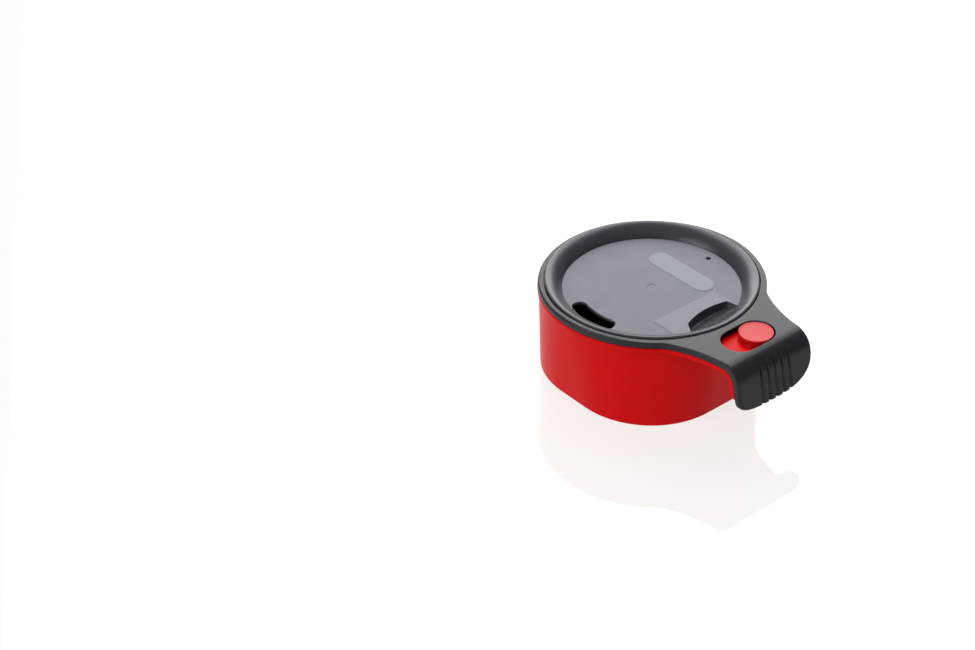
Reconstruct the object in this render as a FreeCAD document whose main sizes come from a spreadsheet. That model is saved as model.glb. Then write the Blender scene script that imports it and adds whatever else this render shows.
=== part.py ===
import FreeCAD, Part
import math
import os
import re
import Sketcher

# A small round egg pan that nests: a red outer pan, a grey inner dish whose rim and handle lie on
# top of the pan's, a recessed lid pressed into the dish on a silicone ring, and a sliding button
# that locks the two handles together. Millimetres, +Z up, the origin on the table under the middle
# of the pan, the handle along +X.

os.makedirs("parts", exist_ok=True)
doc = FreeCAD.newDocument("EggPan")

# ---------------------------------------------------------------- driving sizes
SIZES = {
    "rim_z": (51.4, "top of the dish rim above the table"),
    "ring_rad": (57.2, "outer radius of the dish rim"),
    "leaf_thick": (3.4, "thickness of the dish rim and its handle leaf"),
    "rebate_rad": (54.5, "radius of the rebate that takes the lid's edge"),
    "ledge_z": (49.6, "height of the ledge under the lid's edge"),
    "land_rad": (52.0, "inner radius of the straight land that the seal runs on"),
    "land_z": (41.0, "lower end of the seal land"),
    "dish_top_rad": (54.2, "outer radius of the dish wall under the rim"),
    "dish_low_half": (49.9, "half width of the dish over its flats at the bottom"),
    "dish_low_z": (9.4, "underside of the dish's floor"),
    "dish_floor_z": (11.4, "top of the dish's floor"),
    "dish_in_rad": (51.8, "inner radius of the dish under the seal land"),
    "dish_in_half": (48.0, "half width inside the dish over its flats at the floor"),
    "flat_half": (9.2, "half length of the flats at the foot of the walls"),
    "flat_top": (0.2, "half length that the flats shrink to at the rim"),
    "pan_top_rad": (57.2, "outer radius of the pan wall under its lip"),
    "pan_low_half": (52.5, "half width of the pan over its flats at the table"),
    "pan_in_rad": (55.0, "inner radius of the pan at the rim"),
    "pan_in_half": (50.4, "half width inside the pan over its flats at the floor"),
    "pan_floor_z": (2.4, "top of the pan's floor"),
    "pan_edge": (1.5, "radius round the foot of the pan"),
    "lip_rad": (57.9, "outer radius of the pan's lip"),
    "lip_thick": (2.3, "height of the pan's lip and thickness of its handle leaf"),
    "leaf_gap": (0.2, "gap between the two handle leaves"),
    "grip_half": (25.1, "half width of the handle"),
    "neck_rad": (64.0, "hollow of the handle's neck"),
    "neck_x": (80.0, "where the neck runs out into the straight sides"),
    "root_rad": (10.0, "fillet between the rim and the handle"),
    "bend_x": (75.9, "where the handle starts to bend down"),
    "bend_rad": (10.9, "outer radius of that bend"),
    "lean": (11.5, "degrees that the grip leans out from upright"),
    "grip_z": (26.6, "lower edge of the dish's grip"),
    "pan_grip_z": (29.7, "lower edge of the pan's grip"),
    "grip_corner": (11.5, "corner radius of the grip's lower edge"),
    "leaf_ease": (1.1, "rounding along the dish leaf's upper edge"),
    "fall_z": (52.4, "height over the axis at which the rim's sloping shoulder starts"),
    "fall_tilt": (1.6, "degrees that this shoulder rises toward the handle"),
    "fall_slope": (0.69, "how steeply the shoulder falls outward"),
    "flute_rad": (2.2, "radius of the cutter of the grip's flutes"),
    "flute_deep": (0.55, "depth of the flutes"),
    "flute_pitch": (4.7, "pitch of the flutes"),
    "flute_long": (27.7, "length of the cutter of the flutes"),
    "flute_foot": (4.0, "how far the cutter starts under the grip"),
    "slot_x": (67.7, "middle of the button's slot"),
    "slot_half": (9.25, "half width of the slot"),
    "slot_shift": (5.55, "half the distance between the slot's two end centres"),
    "skin": (1.1, "thickness of the leaf over the button's wings"),
    "groove_z": (48.95, "floor of the groove that the wings lock into"),
    "wing_room": (10.75, "half width of the groove"),
    "button_rad": (9.0, "radius of the button's head"),
    "wing_half": (10.4, "half span of the button's wings"),
    "wing_long": (5.0, "length of the wings along the slot"),
    "wing_thick": (1.05, "thickness of the wings"),
    "wing_z": (49.1, "underside of the wings"),
    "post_half": (3.4, "half width of the post through the pan's leaf"),
    "post_near": (3.0, "near side of the post from the head's centre"),
    "post_far": (7.5, "far side of the post from the head's centre"),
    "post_play": (0.15, "play of the post in its slot"),
    "clip_thick": (1.4, "thickness of the retaining clip"),
    "clip_half": (6.0, "half width of the clip"),
    "clip_gap": (0.1, "gap between the clip and the pan's leaf"),
    "hook": (0.5, "how far the post's barb reaches under the clip"),
    "panel_z": (46.1, "top of the lid's sunk panel"),
    "panel_rad": (45.2, "radius of the sunk panel"),
    "panel_thick": (1.8, "thickness of the panel"),
    "crest_rad": (51.8, "radius of the lid's crest"),
    "crest_round": (2.6, "outer rounding of the crest"),
    "lid_rad": (54.1, "outer radius of the lid"),
    "lid_low_z": (49.75, "underside of the lid's edge"),
    "skirt_out": (51.5, "outer radius of the lid's skirt"),
    "skirt_in": (48.9, "inner radius of the lid's skirt"),
    "skirt_z": (41.5, "lower end of the skirt"),
    "cove_in": (47.0, "inner radius of the hollow behind the skirt"),
    "cove_z": (48.2, "roof of the hollow behind the skirt"),
    "seat_rad": (50.4, "floor radius of the seal's groove in the skirt"),
    "seat_low": (43.5, "lower side of the seal's groove"),
    "seat_high": (47.1, "upper side of the seal's groove"),
    "seal_play": (0.08, "play between the seal and its neighbours"),
    "seal_lip": (0.5, "how far the seal's three lips stand out"),
    "sip_in": (37.0, "inner radius of the sip slot"),
    "sip_out": (44.1, "outer radius of the sip slot"),
    "sip_turn": (19.3, "half angle of the sip slot"),
    "sip_corner": (3.0, "corner radius of the sip slot"),
    "vent_rad": (1.2, "radius of the vent hole"),
    "vent_y": (40.0, "place of the vent hole"),
    "badge_half": (21.5, "half length of the frosted pill on the lid"),
    "badge_rad": (6.0, "end radius of the frosted pill"),
    "badge_y": (20.7, "middle of the frosted pill"),
    "raise": (0.25, "height of the frosted pads over the panel"),
    "pad_x": (23.9, "near edge of the frosted square beside the scoop"),
    "pad_half": (20.7, "half width of that square"),
    "scoop_x": (32.6, "near edge of the finger scoop"),
    "scoop_y": (7.0, "where along Y the scoop's near edge lies closest to the axis"),
    "scoop_bow": (40.0, "radius of the scoop's near edge"),
    "scoop_low_y": (-9.6, "end of the near edge at the flared flank"),
    "scoop_high_y": (19.3, "end of the near edge at the steeper flank"),
    "scoop_end_x": (56.0, "where both flanks end, beyond the bead"),
    "scoop_end_low": (-21.3, "end of the flared flank"),
    "scoop_end_high": (22.4, "end of the steeper flank"),
    "scoop_corner": (2.0, "rounding of the scoop's two near corners"),
    "scoop_rad": (23.3, "radius of the scoop's ramp"),
    "scoop_mid": (31.6, "radius of the scoop's deepest line"),
    "scoop_z": (41.8, "floor of the scoop"),
    "scoop_reach": (51.0, "how far out the scoop cuts into the bead"),
    "scoop_wall": (1.6, "wall under and beside the scoop"),
    "dimple_rad": (2.4, "radius of the moulding mark in the middle"),
    "dimple_deep": (0.4, "depth of the moulding mark"),
    "past": (1.0, "how far cutters and joined solids run past the faces they meet"),
    "leaf_reach": (25.0, "how far beyond the bend a leaf's plan is drawn"),
    "wall_tuck": (0.4, "how far below the lip's top the pan's wall ends"),
    "pocket_play": (0.6, "play of the wings in their pocket, along the slot"),
    "groove_play": (0.4, "room beyond the wings at the groove's end"),
    "skirt_ease": (0.4, "chamfer at the foot of the lid's skirt"),
    "pad_root": (0.2, "how deep the frosted pads are rooted in the panel"),
    "head_gap": (0.1, "gap between the button's head and the pan's leaf"),
    "post_root": (0.6, "how deep the post is rooted in the button's head"),
    "barb_deep": (1.2, "height of the post's barb"),
    "barb_gap": (0.05, "gap between the barb and the clip"),
    "clip_rim": (1.6, "width of the clip before and behind the post"),
    "clip_play": (0.03, "play of the clip round the post"),
}

sheet = doc.addObject("Spreadsheet::Sheet", "Sizes")
for row, (alias, (number, note)) in enumerate(SIZES.items(), start=1):
    sheet.set(f"A{row}", note)
    sheet.set(f"B{row}", str(number))
    sheet.setAlias(f"B{row}", alias)
doc.recompute()


# ---------------------------------------------------------------- small helpers
def bound(formula):
    """A formula written with the sheet's words, as an expression that any object can hold."""
    return re.sub(r"[a-z_]+", lambda word: f"Sizes.{word[0]}" if word[0] in SIZES else word[0],
                  str(formula))


def worth(formula):
    """What a formula comes to now."""
    result = sheet.evalExpression(bound(formula))
    return float(getattr(result, "Value", result))


def bind(thing, **formulas):
    """Bind properties of an object to formulas of the sheet."""
    for name, formula in formulas.items():
        thing.setExpression(name, bound(formula))
    return thing


def origin_plane(body, role):
    return next(plane for plane in body.Origin.OriginFeatures if plane.Role == role)


def sketch_on(name, plane, height=0, body=None):
    """A sketch on XY, XZ or YZ, lifted along the plane's normal by a formula."""
    if body is None:
        sketch = doc.addObject("Sketcher::SketchObject", name)
        turns = {"XY": FreeCAD.Rotation(),
                 "XZ": FreeCAD.Rotation(FreeCAD.Vector(1, 0, 0), 90),
                 "YZ": FreeCAD.Rotation(FreeCAD.Vector(1, 1, 1), 120)}
        sketch.Placement = FreeCAD.Placement(FreeCAD.Vector(), turns[plane])
        if height:
            sketch.setExpression("Placement.Base.z", bound(height))
    else:
        sketch = body.newObject("Sketcher::SketchObject", name)
        sketch.AttachmentSupport = (origin_plane(body, plane + "_Plane"), "")
        sketch.MapMode = "FlatFace"
        if height:
            sketch.setExpression("AttachmentOffset.Base.z", bound(height))
    return sketch


def constrain(sketch, kind, *what, formula=None):
    """Add a constraint; with a formula it is a size bound to the sheet."""
    if formula is None:
        return sketch.addConstraint(Sketcher.Constraint(kind, *what))
    number = sketch.addConstraint(Sketcher.Constraint(kind, *what, worth(formula)))
    sketch.setExpression(f"Constraints[{number}]", bound(formula))
    return number


def hold(sketch, geometry, end, x, y):
    """Hold one point of a sketch at two formulas."""
    for kind, formula, axis in (("DistanceX", x, -2), ("DistanceY", y, -1)):
        if str(formula) == "0":
            constrain(sketch, "PointOnObject", geometry, end, axis)
        else:
            constrain(sketch, kind, -1, 1, geometry, end, formula=formula)


def arc_between(start, end, radius, turn):
    """The short arc from start to end; turn is 1 for left-handed and -1 for right-handed."""
    chord = end - start
    rise = math.sqrt(max(radius ** 2 - (chord.Length / 2) ** 2, 0.0))
    side = FreeCAD.Vector(-chord.y, chord.x, 0).normalize()
    centre = start + chord * 0.5 + side * rise * turn
    first, last = (start, end) if turn > 0 else (end, start)
    circle = Part.Circle(centre, FreeCAD.Vector(0, 0, 1), radius)
    return Part.ArcOfCircle(circle, circle.parameter(first), circle.parameter(last))


def outline(sketch, corners):
    """Draw a closed outline. A corner is (x, y), reached by a line, or (x, y, radius, turn),
    reached by an arc; every number is a formula of the sheet."""
    points = [FreeCAD.Vector(worth(corner[0]), worth(corner[1]), 0) for corner in corners]
    arrivals = []
    departures = []
    for index, corner in enumerate(corners):
        start = points[index - 1]
        end = points[index]
        if len(corner) == 2:
            made = sketch.addGeometry(Part.LineSegment(start, end), False)
            departures.append((made, 1))
            arrivals.append((made, 2))
        else:
            radius, turn = corner[2:]
            made = sketch.addGeometry(arc_between(start, end, worth(radius), turn), False)
            departures.append((made, 1 if turn > 0 else 2))
            arrivals.append((made, 2 if turn > 0 else 1))
    for index, corner in enumerate(corners):
        following = departures[(index + 1) % len(corners)]
        constrain(sketch, "Coincident", *arrivals[index], *following)
        hold(sketch, *arrivals[index], corner[0], corner[1])
        if len(corner) == 4:
            constrain(sketch, "Radius", arrivals[index][0], formula=corner[2])
    return sketch


def extrude(name, sketch, length, both_ways=False):
    """A solid grown from a sketch along its normal."""
    solid = doc.addObject("Part::Extrusion", name)
    solid.Base = sketch
    solid.DirMode = "Normal"
    solid.Solid = True
    solid.Symmetric = both_ways
    return bind(solid, LengthFwd=length)


def turn_round(name, sketch):
    """A solid of revolution about Z from a half profile in XZ."""
    solid = doc.addObject("Part::Revolution", name)
    solid.Source = sketch
    solid.Axis = FreeCAD.Vector(0, 0, 1)
    solid.Angle = 360
    solid.Solid = True
    return solid


def block(name, x, y, z, long, wide, high):
    """A box from its low corner and its three sizes."""
    made = doc.addObject("Part::Box", name)
    bind(made, Length=long, Width=wide, Height=high)
    for axis, formula in zip("xyz", (x, y, z)):
        made.setExpression(f"Placement.Base.{axis}", bound(formula))
    return made


def rod(name, radius, high, z, x="0", y="0"):
    """An upright cylinder."""
    made = doc.addObject("Part::Cylinder", name)
    bind(made, Radius=radius, Height=high)
    for axis, formula in zip("xyz", (x, y, z)):
        made.setExpression(f"Placement.Base.{axis}", bound(formula))
    return made


def fuse(name, *solids):
    made = doc.addObject("Part::MultiFuse", name)
    made.Shapes = list(solids)
    made.Refine = True
    return made


def common(name, *solids):
    made = doc.addObject("Part::MultiCommon", name)
    made.Shapes = list(solids)
    return made


def cut(name, base, *tools):
    tool = tools[0] if len(tools) == 1 else fuse(f"{name}_cutters", *tools)
    made = doc.addObject("Part::Cut", name)
    made.Base = base
    made.Tool = tool
    made.Refine = True
    return made


def finish(thing, label):
    """Give a finished piece the name that its file gets."""
    thing.Label = label
    return thing


# ---------------------------------------------------------------- shapes both vessels share
def soft_square(sketch, half, flat):
    """A square over its flats, all the rest of it four corner arcs."""
    corner = f"({half} - {flat})"
    sides = [(half, flat), (flat, half), (f"-({flat})", half), (f"-({half})", flat),
             (f"-({half})", f"-({flat})"), (f"-({flat})", f"-({half})"),
             (flat, f"-({half})"), (half, f"-({flat})")]
    steps = []
    for index, (x, y) in enumerate(sides):
        steps.append((x, y, corner, 1) if index % 2 else (x, y))
    return outline(sketch, steps)


def vessel(name, outside, inside, low_z, floor_z, top_z, edge):
    """An open bowl: round at the rim, drawn in to four soft flats at the foot.
    outside and inside are pairs of formulas, the radius at the rim and the half width low down."""
    body = doc.addObject("PartDesign::Body", name)
    foot = soft_square(sketch_on(f"{name}_foot", "XY", low_z, body), outside[1], "flat_half")
    mouth = soft_square(sketch_on(f"{name}_mouth", "XY", top_z, body), outside[0], "flat_top")
    floor = soft_square(sketch_on(f"{name}_floor", "XY", floor_z, body), inside[1], "flat_half")
    brim = soft_square(sketch_on(f"{name}_brim", "XY", f"{top_z} + past", body), inside[0], "flat_top")
    doc.recompute()

    shell = body.newObject("PartDesign::AdditiveLoft", f"{name}_shell")
    shell.Profile = foot
    shell.Sections = [mouth]
    shell.Ruled = True
    doc.recompute()
    full = shell.Shape.Volume

    hollow = body.newObject("PartDesign::SubtractiveLoft", f"{name}_hollow")
    hollow.Profile = floor
    hollow.Sections = [brim]
    hollow.Ruled = True
    doc.recompute()
    if hollow.Shape.Volume > 0.5 * full:
        raise RuntimeError(f"{name} was not hollowed")

    low = worth(low_z)
    edges = [f"Edge{number}" for number, line in enumerate(hollow.Shape.Edges, start=1)
             if all(abs(point.Z - low) < 1e-6 for point in line.Vertexes)]
    rounding = body.newObject("PartDesign::Fillet", f"{name}_edge")
    rounding.Base = (hollow, edges)
    bind(rounding, Radius=edge)
    body.Tip = rounding
    return body


def plan_of_leaf(name, ring):
    """Rim and handle seen from above: the ring, two root fillets, two hollow necks, straight sides
    and an end that stands clear of the bend."""
    sketch = sketch_on(name, "XY")
    reach = "bend_x + leaf_reach"
    ring_now, root, neck = worth(ring), worth("root_rad"), worth("neck_rad")
    neck_centre = FreeCAD.Vector(worth("neck_x"), worth("grip_half") + neck, 0)
    span = neck_centre.Length
    along = ((ring_now + root) ** 2 - (neck - root) ** 2 + span ** 2) / (2 * span)
    aside = math.sqrt((ring_now + root) ** 2 - along ** 2)
    toward = neck_centre / span
    root_centre = toward * along + FreeCAD.Vector(toward.y, -toward.x, 0) * aside
    leave = root_centre * (ring_now / (ring_now + root))
    meet = neck_centre + (root_centre - neck_centre) * (neck / (neck - root))
    run_out = FreeCAD.Vector(neck_centre.x, neck_centre.y - neck, 0)
    corner = FreeCAD.Vector(worth(reach), run_out.y, 0)

    def flip(point):
        return FreeCAD.Vector(point.x, -point.y, 0)

    rim = sketch.addGeometry(Part.ArcOfCircle(
        Part.Circle(FreeCAD.Vector(), FreeCAD.Vector(0, 0, 1), ring_now),
        math.atan2(leave.y, leave.x), 2 * math.pi - math.atan2(leave.y, leave.x)), False)
    constrain(sketch, "Coincident", rim, 3, -1, 1)
    constrain(sketch, "Radius", rim, formula=ring)
    ends = []
    for side in (1, -1):
        place = (lambda point: point) if side > 0 else flip
        fillet = sketch.addGeometry(arc_between(place(leave), place(meet), root, side), False)
        hollow = sketch.addGeometry(arc_between(place(meet), place(run_out), neck, side), False)
        straight = sketch.addGeometry(Part.LineSegment(place(run_out), place(corner)), False)
        near, far = (1, 2) if side > 0 else (2, 1)
        constrain(sketch, "Tangent", rim, near, fillet, near)
        constrain(sketch, "Tangent", fillet, far, hollow, near)
        constrain(sketch, "Tangent", hollow, far, straight, 1)
        constrain(sketch, "Radius", fillet, formula="root_rad")
        constrain(sketch, "Radius", hollow, formula="neck_rad")
        constrain(sketch, "DistanceX", -1, 1, hollow, 3, formula="neck_x")
        constrain(sketch, "DistanceY", -1, 1, hollow, 3, formula=f"{side}*(grip_half + neck_rad)")
        constrain(sketch, "DistanceX", -1, 1, straight, 2, formula=reach)
        ends.append(straight)
    close = sketch.addGeometry(Part.LineSegment(corner, flip(corner)), False)
    constrain(sketch, "Coincident", close, 1, ends[0], 2)
    constrain(sketch, "Coincident", close, 2, ends[1], 2)
    return sketch


def leaf(name, ring, top, thick, bend, low):
    """A rim ring with its handle: flat, bent over and hanging down as the grip."""
    plan = extrude(f"{name}_plan", plan_of_leaf(f"{name}_plan_line", ring), "rim_z + 10*past")

    foot = "(grip_z - 5*past)"
    outer_x = f"(bend_x + {bend}*cos(lean))"
    outer_z = f"({top} - {bend} + {bend}*sin(lean))"
    inner_x = f"(bend_x + ({bend} - {thick})*cos(lean))"
    inner_z = f"({top} - {bend} + ({bend} - {thick})*sin(lean))"
    start = "-(ring_rad + 5*past)"
    side = sketch_on(f"{name}_side_line", "XZ")
    outline(side, [
        (start, top),
        (start, f"{top} - {thick}"),
        ("bend_x", f"{top} - {thick}"),
        (inner_x, inner_z, f"{bend} - {thick}", -1),
        (f"{inner_x} + ({inner_z} - {foot})*tan(lean)", foot),
        (f"{outer_x} + ({outer_z} - {foot})*tan(lean)", foot),
        (outer_x, outer_z),
        ("bend_x", top, bend, 1),
    ])
    strip = extrude(f"{name}_strip", side, "4*ring_rad", True)

    brow = "(rim_z - bend_rad)"
    front = sketch_on(f"{name}_front_line", "YZ")
    outline(front, [
        ("ring_rad + 5*past", "rim_z + 5*past"),
        ("-(ring_rad + 5*past)", "rim_z + 5*past"),
        ("-(ring_rad + 5*past)", brow),
        ("-grip_half", brow),
        ("-grip_half", f"{low} + grip_corner"),
        ("-(grip_half - grip_corner)", low, "grip_corner", 1),
        ("grip_half - grip_corner", low),
        ("grip_half", f"{low} + grip_corner", "grip_corner", 1),
        ("grip_half", brow),
        ("ring_rad + 5*past", brow),
    ])
    face = extrude(f"{name}_face", front, "6*ring_rad", True)
    return common(name, plan, strip, face)


def soften(name, solid):
    """Round the edge all along the upper, outer skin of the dish's leaf."""
    doc.recompute()
    bend_x, bend, top = worth("bend_x"), worth("bend_rad"), worth("rim_z")
    lean = math.radians(worth("lean"))

    def under_skin(point):
        away = FreeCAD.Vector(point.x - bend_x, 0, point.z - top + bend)
        if away.x <= 0:
            return bend - away.z
        if math.atan2(away.z, away.x) > lean:
            return bend - away.Length
        return bend - away.x * math.cos(lean) - away.z * math.sin(lean)

    rims = []
    for number, line in enumerate(solid.Shape.Edges, start=1):
        first, last = line.ParameterRange
        points = [line.valueAt(first + (last - first) * step / 6) for step in range(7)]
        on_skin = all(abs(under_skin(point)) < 0.001 for point in points)
        seam = all(abs(point.x - points[0].x) < 0.001 for point in points)
        at_foot = points[0].z < worth("grip_z") + 0.01
        if on_skin and (at_foot or not seam):
            rims.append(number)
    made = doc.addObject("Part::Fillet", name)
    made.Base = solid
    made.Edges = [(number, worth("leaf_ease"), worth("leaf_ease")) for number in rims]
    return made


def stadium(sketch, x, half, reach, y="0"):
    """A slot outline along Y: two half circles joined by straight sides."""
    return outline(sketch, [
        (f"{x} + {half}", f"{y} - {reach}", half, 1),
        (f"{x} + {half}", f"{y} + {reach}"),
        (x, f"{y} + {reach} + {half}", half, 1),
        (f"{x} - {half}", f"{y} + {reach}", half, 1),
        (f"{x} - {half}", f"{y} - {reach}"),
        (x, f"{y} - {reach} - {half}", half, 1),
    ])


# ---------------------------------------------------------------- outer pan
LIP_TOP = "(rim_z - leaf_thick - leaf_gap)"


def outer_pan():
    """The red pan: soft-square bowl, round lip, handle leaf and the slot of the button's post."""
    bowl = vessel("pan_bowl", ("pan_top_rad", "pan_low_half"), ("pan_in_rad", "pan_in_half"),
                  "0", "pan_floor_z", f"{LIP_TOP} - wall_tuck", "pan_edge")
    bend = "(bend_rad - leaf_thick - leaf_gap)"
    grip = leaf("pan_leaf", "lip_rad", LIP_TOP, "lip_thick", bend, "pan_grip_z")
    mouth = rod("pan_mouth", "pan_in_rad", "lip_thick + 2*past",
                f"{LIP_TOP} - lip_thick - past")
    slot = block("pan_post_slot", "slot_x - post_half - post_play",
                 "slot_shift + post_near - 2*slot_shift - post_play",
                 f"{LIP_TOP} - lip_thick - past",
                 "2*(post_half + post_play)",
                 "post_far - post_near + 2*slot_shift + 2*post_play",
                 "lip_thick + 2*past")
    open_leaf = cut("pan_open_leaf", grip, mouth, slot)
    return finish(fuse("pan_whole", bowl, open_leaf), "outer_pan")


# ---------------------------------------------------------------- inner dish
def flutes():
    """The cutters of the five grip flutes: each a rod along the grip, a little deeper low down."""
    foot_z = "(grip_z - flute_foot)"
    made = []
    for number in range(-2, 3):
        cutter = doc.addObject("Part::Cylinder", f"flute_{number + 3}")
        bind(cutter, Radius="flute_rad", Height="flute_long")
        off = "(flute_rad - flute_deep)"
        wall_x = f"(bend_x + bend_rad/cos(lean) + (rim_z - bend_rad - {foot_z})*tan(lean))"
        cutter.setExpression("Placement.Base.x", bound(f"{wall_x} + {off}/cos(lean)"))
        cutter.setExpression("Placement.Base.y", bound(f"{number}*flute_pitch"))
        cutter.setExpression("Placement.Base.z", bound(foot_z))
        cutter.Placement.Rotation = FreeCAD.Rotation(FreeCAD.Vector(0, 1, 0), -worth("lean"))
        made.append(cutter)
    return made


def inner_dish():
    """The grey dish: bowl with a straight land for the seal, rebated rim, handle leaf with the
    button's slot, its pocket and groove, and a fluted grip."""
    bowl = vessel("dish_bowl", ("dish_top_rad", "dish_low_half"), ("dish_in_rad", "dish_in_half"),
                  "dish_low_z", "dish_floor_z", "rim_z - leaf_thick/2", "pan_edge")
    grip = leaf("dish_leaf", "ring_rad", "rim_z", "leaf_thick", "bend_rad", "grip_z")
    whole = fuse("dish_joined", bowl, soften("dish_leaf_eased", grip))

    shoulder = turn_round("dish_fall", outline(sketch_on("dish_fall_line", "XZ"), [
        ("rebate_rad - past", "fall_z + fall_slope*past"),
        ("ring_rad + 3*past", "fall_z - fall_slope*(ring_rad + 3*past - rebate_rad)"),
        ("ring_rad + 3*past", "fall_z + 8*past"),
        ("rebate_rad - past", "fall_z + 8*past"),
    ]))
    shoulder.Placement.Rotation = FreeCAD.Rotation(FreeCAD.Vector(0, 1, 0), -worth("fall_tilt"))
    land = rod("dish_land", "land_rad", "rim_z - land_z + 5*past", "land_z")
    rebate = rod("dish_rebate", "rebate_rad", "5", "ledge_z")
    deep = "(leaf_thick + 2*past)"
    under = "(rim_z - leaf_thick - past)"
    slot = extrude("dish_slot", stadium(sketch_on("dish_slot_line", "XY", under),
                                        "slot_x", "slot_half", "slot_shift"), deep)
    split = "(slot_shift - wing_long/2 - pocket_play)"
    pocket = block("dish_wing_pocket", "slot_x - wing_room", split, under,
                   "2*wing_room", "wing_long + 2*pocket_play", "leaf_thick + past - skin")
    groove_end = "(slot_shift + wing_long/2 + groove_play)"
    groove = block("dish_wing_groove", "slot_x - wing_room", f"-{groove_end}",
                   "groove_z", "2*wing_room", f"{split} + {groove_end}",
                   "rim_z - skin - groove_z")
    return finish(cut("dish_whole", whole, shoulder, land, rebate, slot, pocket, groove, *flutes()),
                  "inner_dish")


# ---------------------------------------------------------------- lid and its seal
def lid_profile():
    """Half section of the lid: sunk panel, quarter-round bead, edge, and a skirt with the groove
    of the seal."""
    bead = "(crest_rad - panel_rad)"
    crest_z = f"(panel_z + {bead})"
    edge_z = (f"({crest_z} - crest_round"
              " + sqrt(crest_round*crest_round - (lid_rad - crest_rad)*(lid_rad - crest_rad)))")
    under = "(panel_z - panel_thick)"
    return outline(sketch_on("lid_half_section", "XZ"), [
        ("0", under),
        ("cove_in", under),
        ("cove_in", "cove_z"),
        ("skirt_in", "cove_z"),
        ("skirt_in", "skirt_z"),
        ("skirt_out - skirt_ease", "skirt_z"),
        ("skirt_out", "skirt_z + skirt_ease"),
        ("skirt_out", "seat_low"),
        ("seat_rad", "seat_low"),
        ("seat_rad", "seat_high"),
        ("skirt_out", "seat_high"),
        ("skirt_out", "lid_low_z"),
        ("lid_rad", "lid_low_z"),
        ("lid_rad", edge_z),
        ("crest_rad", crest_z, "crest_round", 1),
        ("panel_rad", "panel_z", bead, 1),
        ("0", "panel_z"),
    ])


def scoop(name, grow, floor, reach, top):
    """The finger scoop's solid: a prism with a bowed near edge over a ramp turned about the axis,
    kept inside a radius. grow widens it all round, which gives the wall around the scoop."""
    def near_x(y):
        return f"(scoop_x + scoop_bow - sqrt(scoop_bow*scoop_bow - ({y})*({y})))"

    plan = sketch_on(f"{name}_plan_line", "XY", f"{floor} - past")
    outline(plan, [
        (near_x("scoop_low_y - scoop_y"), "scoop_low_y", "scoop_bow", 1),
        ("scoop_end_x", "scoop_end_low"),
        ("scoop_end_x", "scoop_end_high"),
        (near_x("scoop_high_y - scoop_y"), "scoop_high_y"),
        ("scoop_x", "scoop_y", "scoop_bow", 1),
    ])
    sharp = extrude(f"{name}_sharp", plan, f"{top} - {floor} + 2*past")
    doc.recompute()
    corners = [number for number, line in enumerate(sharp.Shape.Edges, start=1)
               if abs(line.Vertexes[0].Z - line.Vertexes[-1].Z) > 1
               and line.Vertexes[0].X < worth("scoop_mid + 10*past")
               and abs(line.Vertexes[0].Y - worth("scoop_y")) > 1]
    prism = doc.addObject("Part::Fillet", f"{name}_prism")
    prism.Base = sharp
    prism.Edges = [(number, worth("scoop_corner"), worth("scoop_corner")) for number in corners]
    if grow:
        wider = doc.addObject("Part::Offset", f"{name}_wider")
        wider.Source = prism
        wider.Join = 2
        prism = bind(wider, Value=grow)

    hollow = f"(scoop_rad + scoop_z - {floor})"
    middle_z = "(scoop_z + scoop_rad)"
    low_edge = f"({middle_z} - {hollow})"
    inner_x = "(scoop_x - 3*past)"
    side = sketch_on(f"{name}_side_line", "XZ")
    end_x = f"(scoop_mid + sqrt({hollow}*{hollow} - ({middle_z} - {top})*({middle_z} - {top})))"
    outline(side, [
        (inner_x, top),
        (inner_x, low_edge),
        ("scoop_mid", low_edge),
        (end_x, top, hollow, 1),
    ])
    ramp = turn_round(f"{name}_ramp", side)
    keep = rod(f"{name}_keep", reach, f"{top} - {floor} + 4*past", f"{floor} - 2*past")
    return common(name, prism, ramp, keep)


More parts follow.
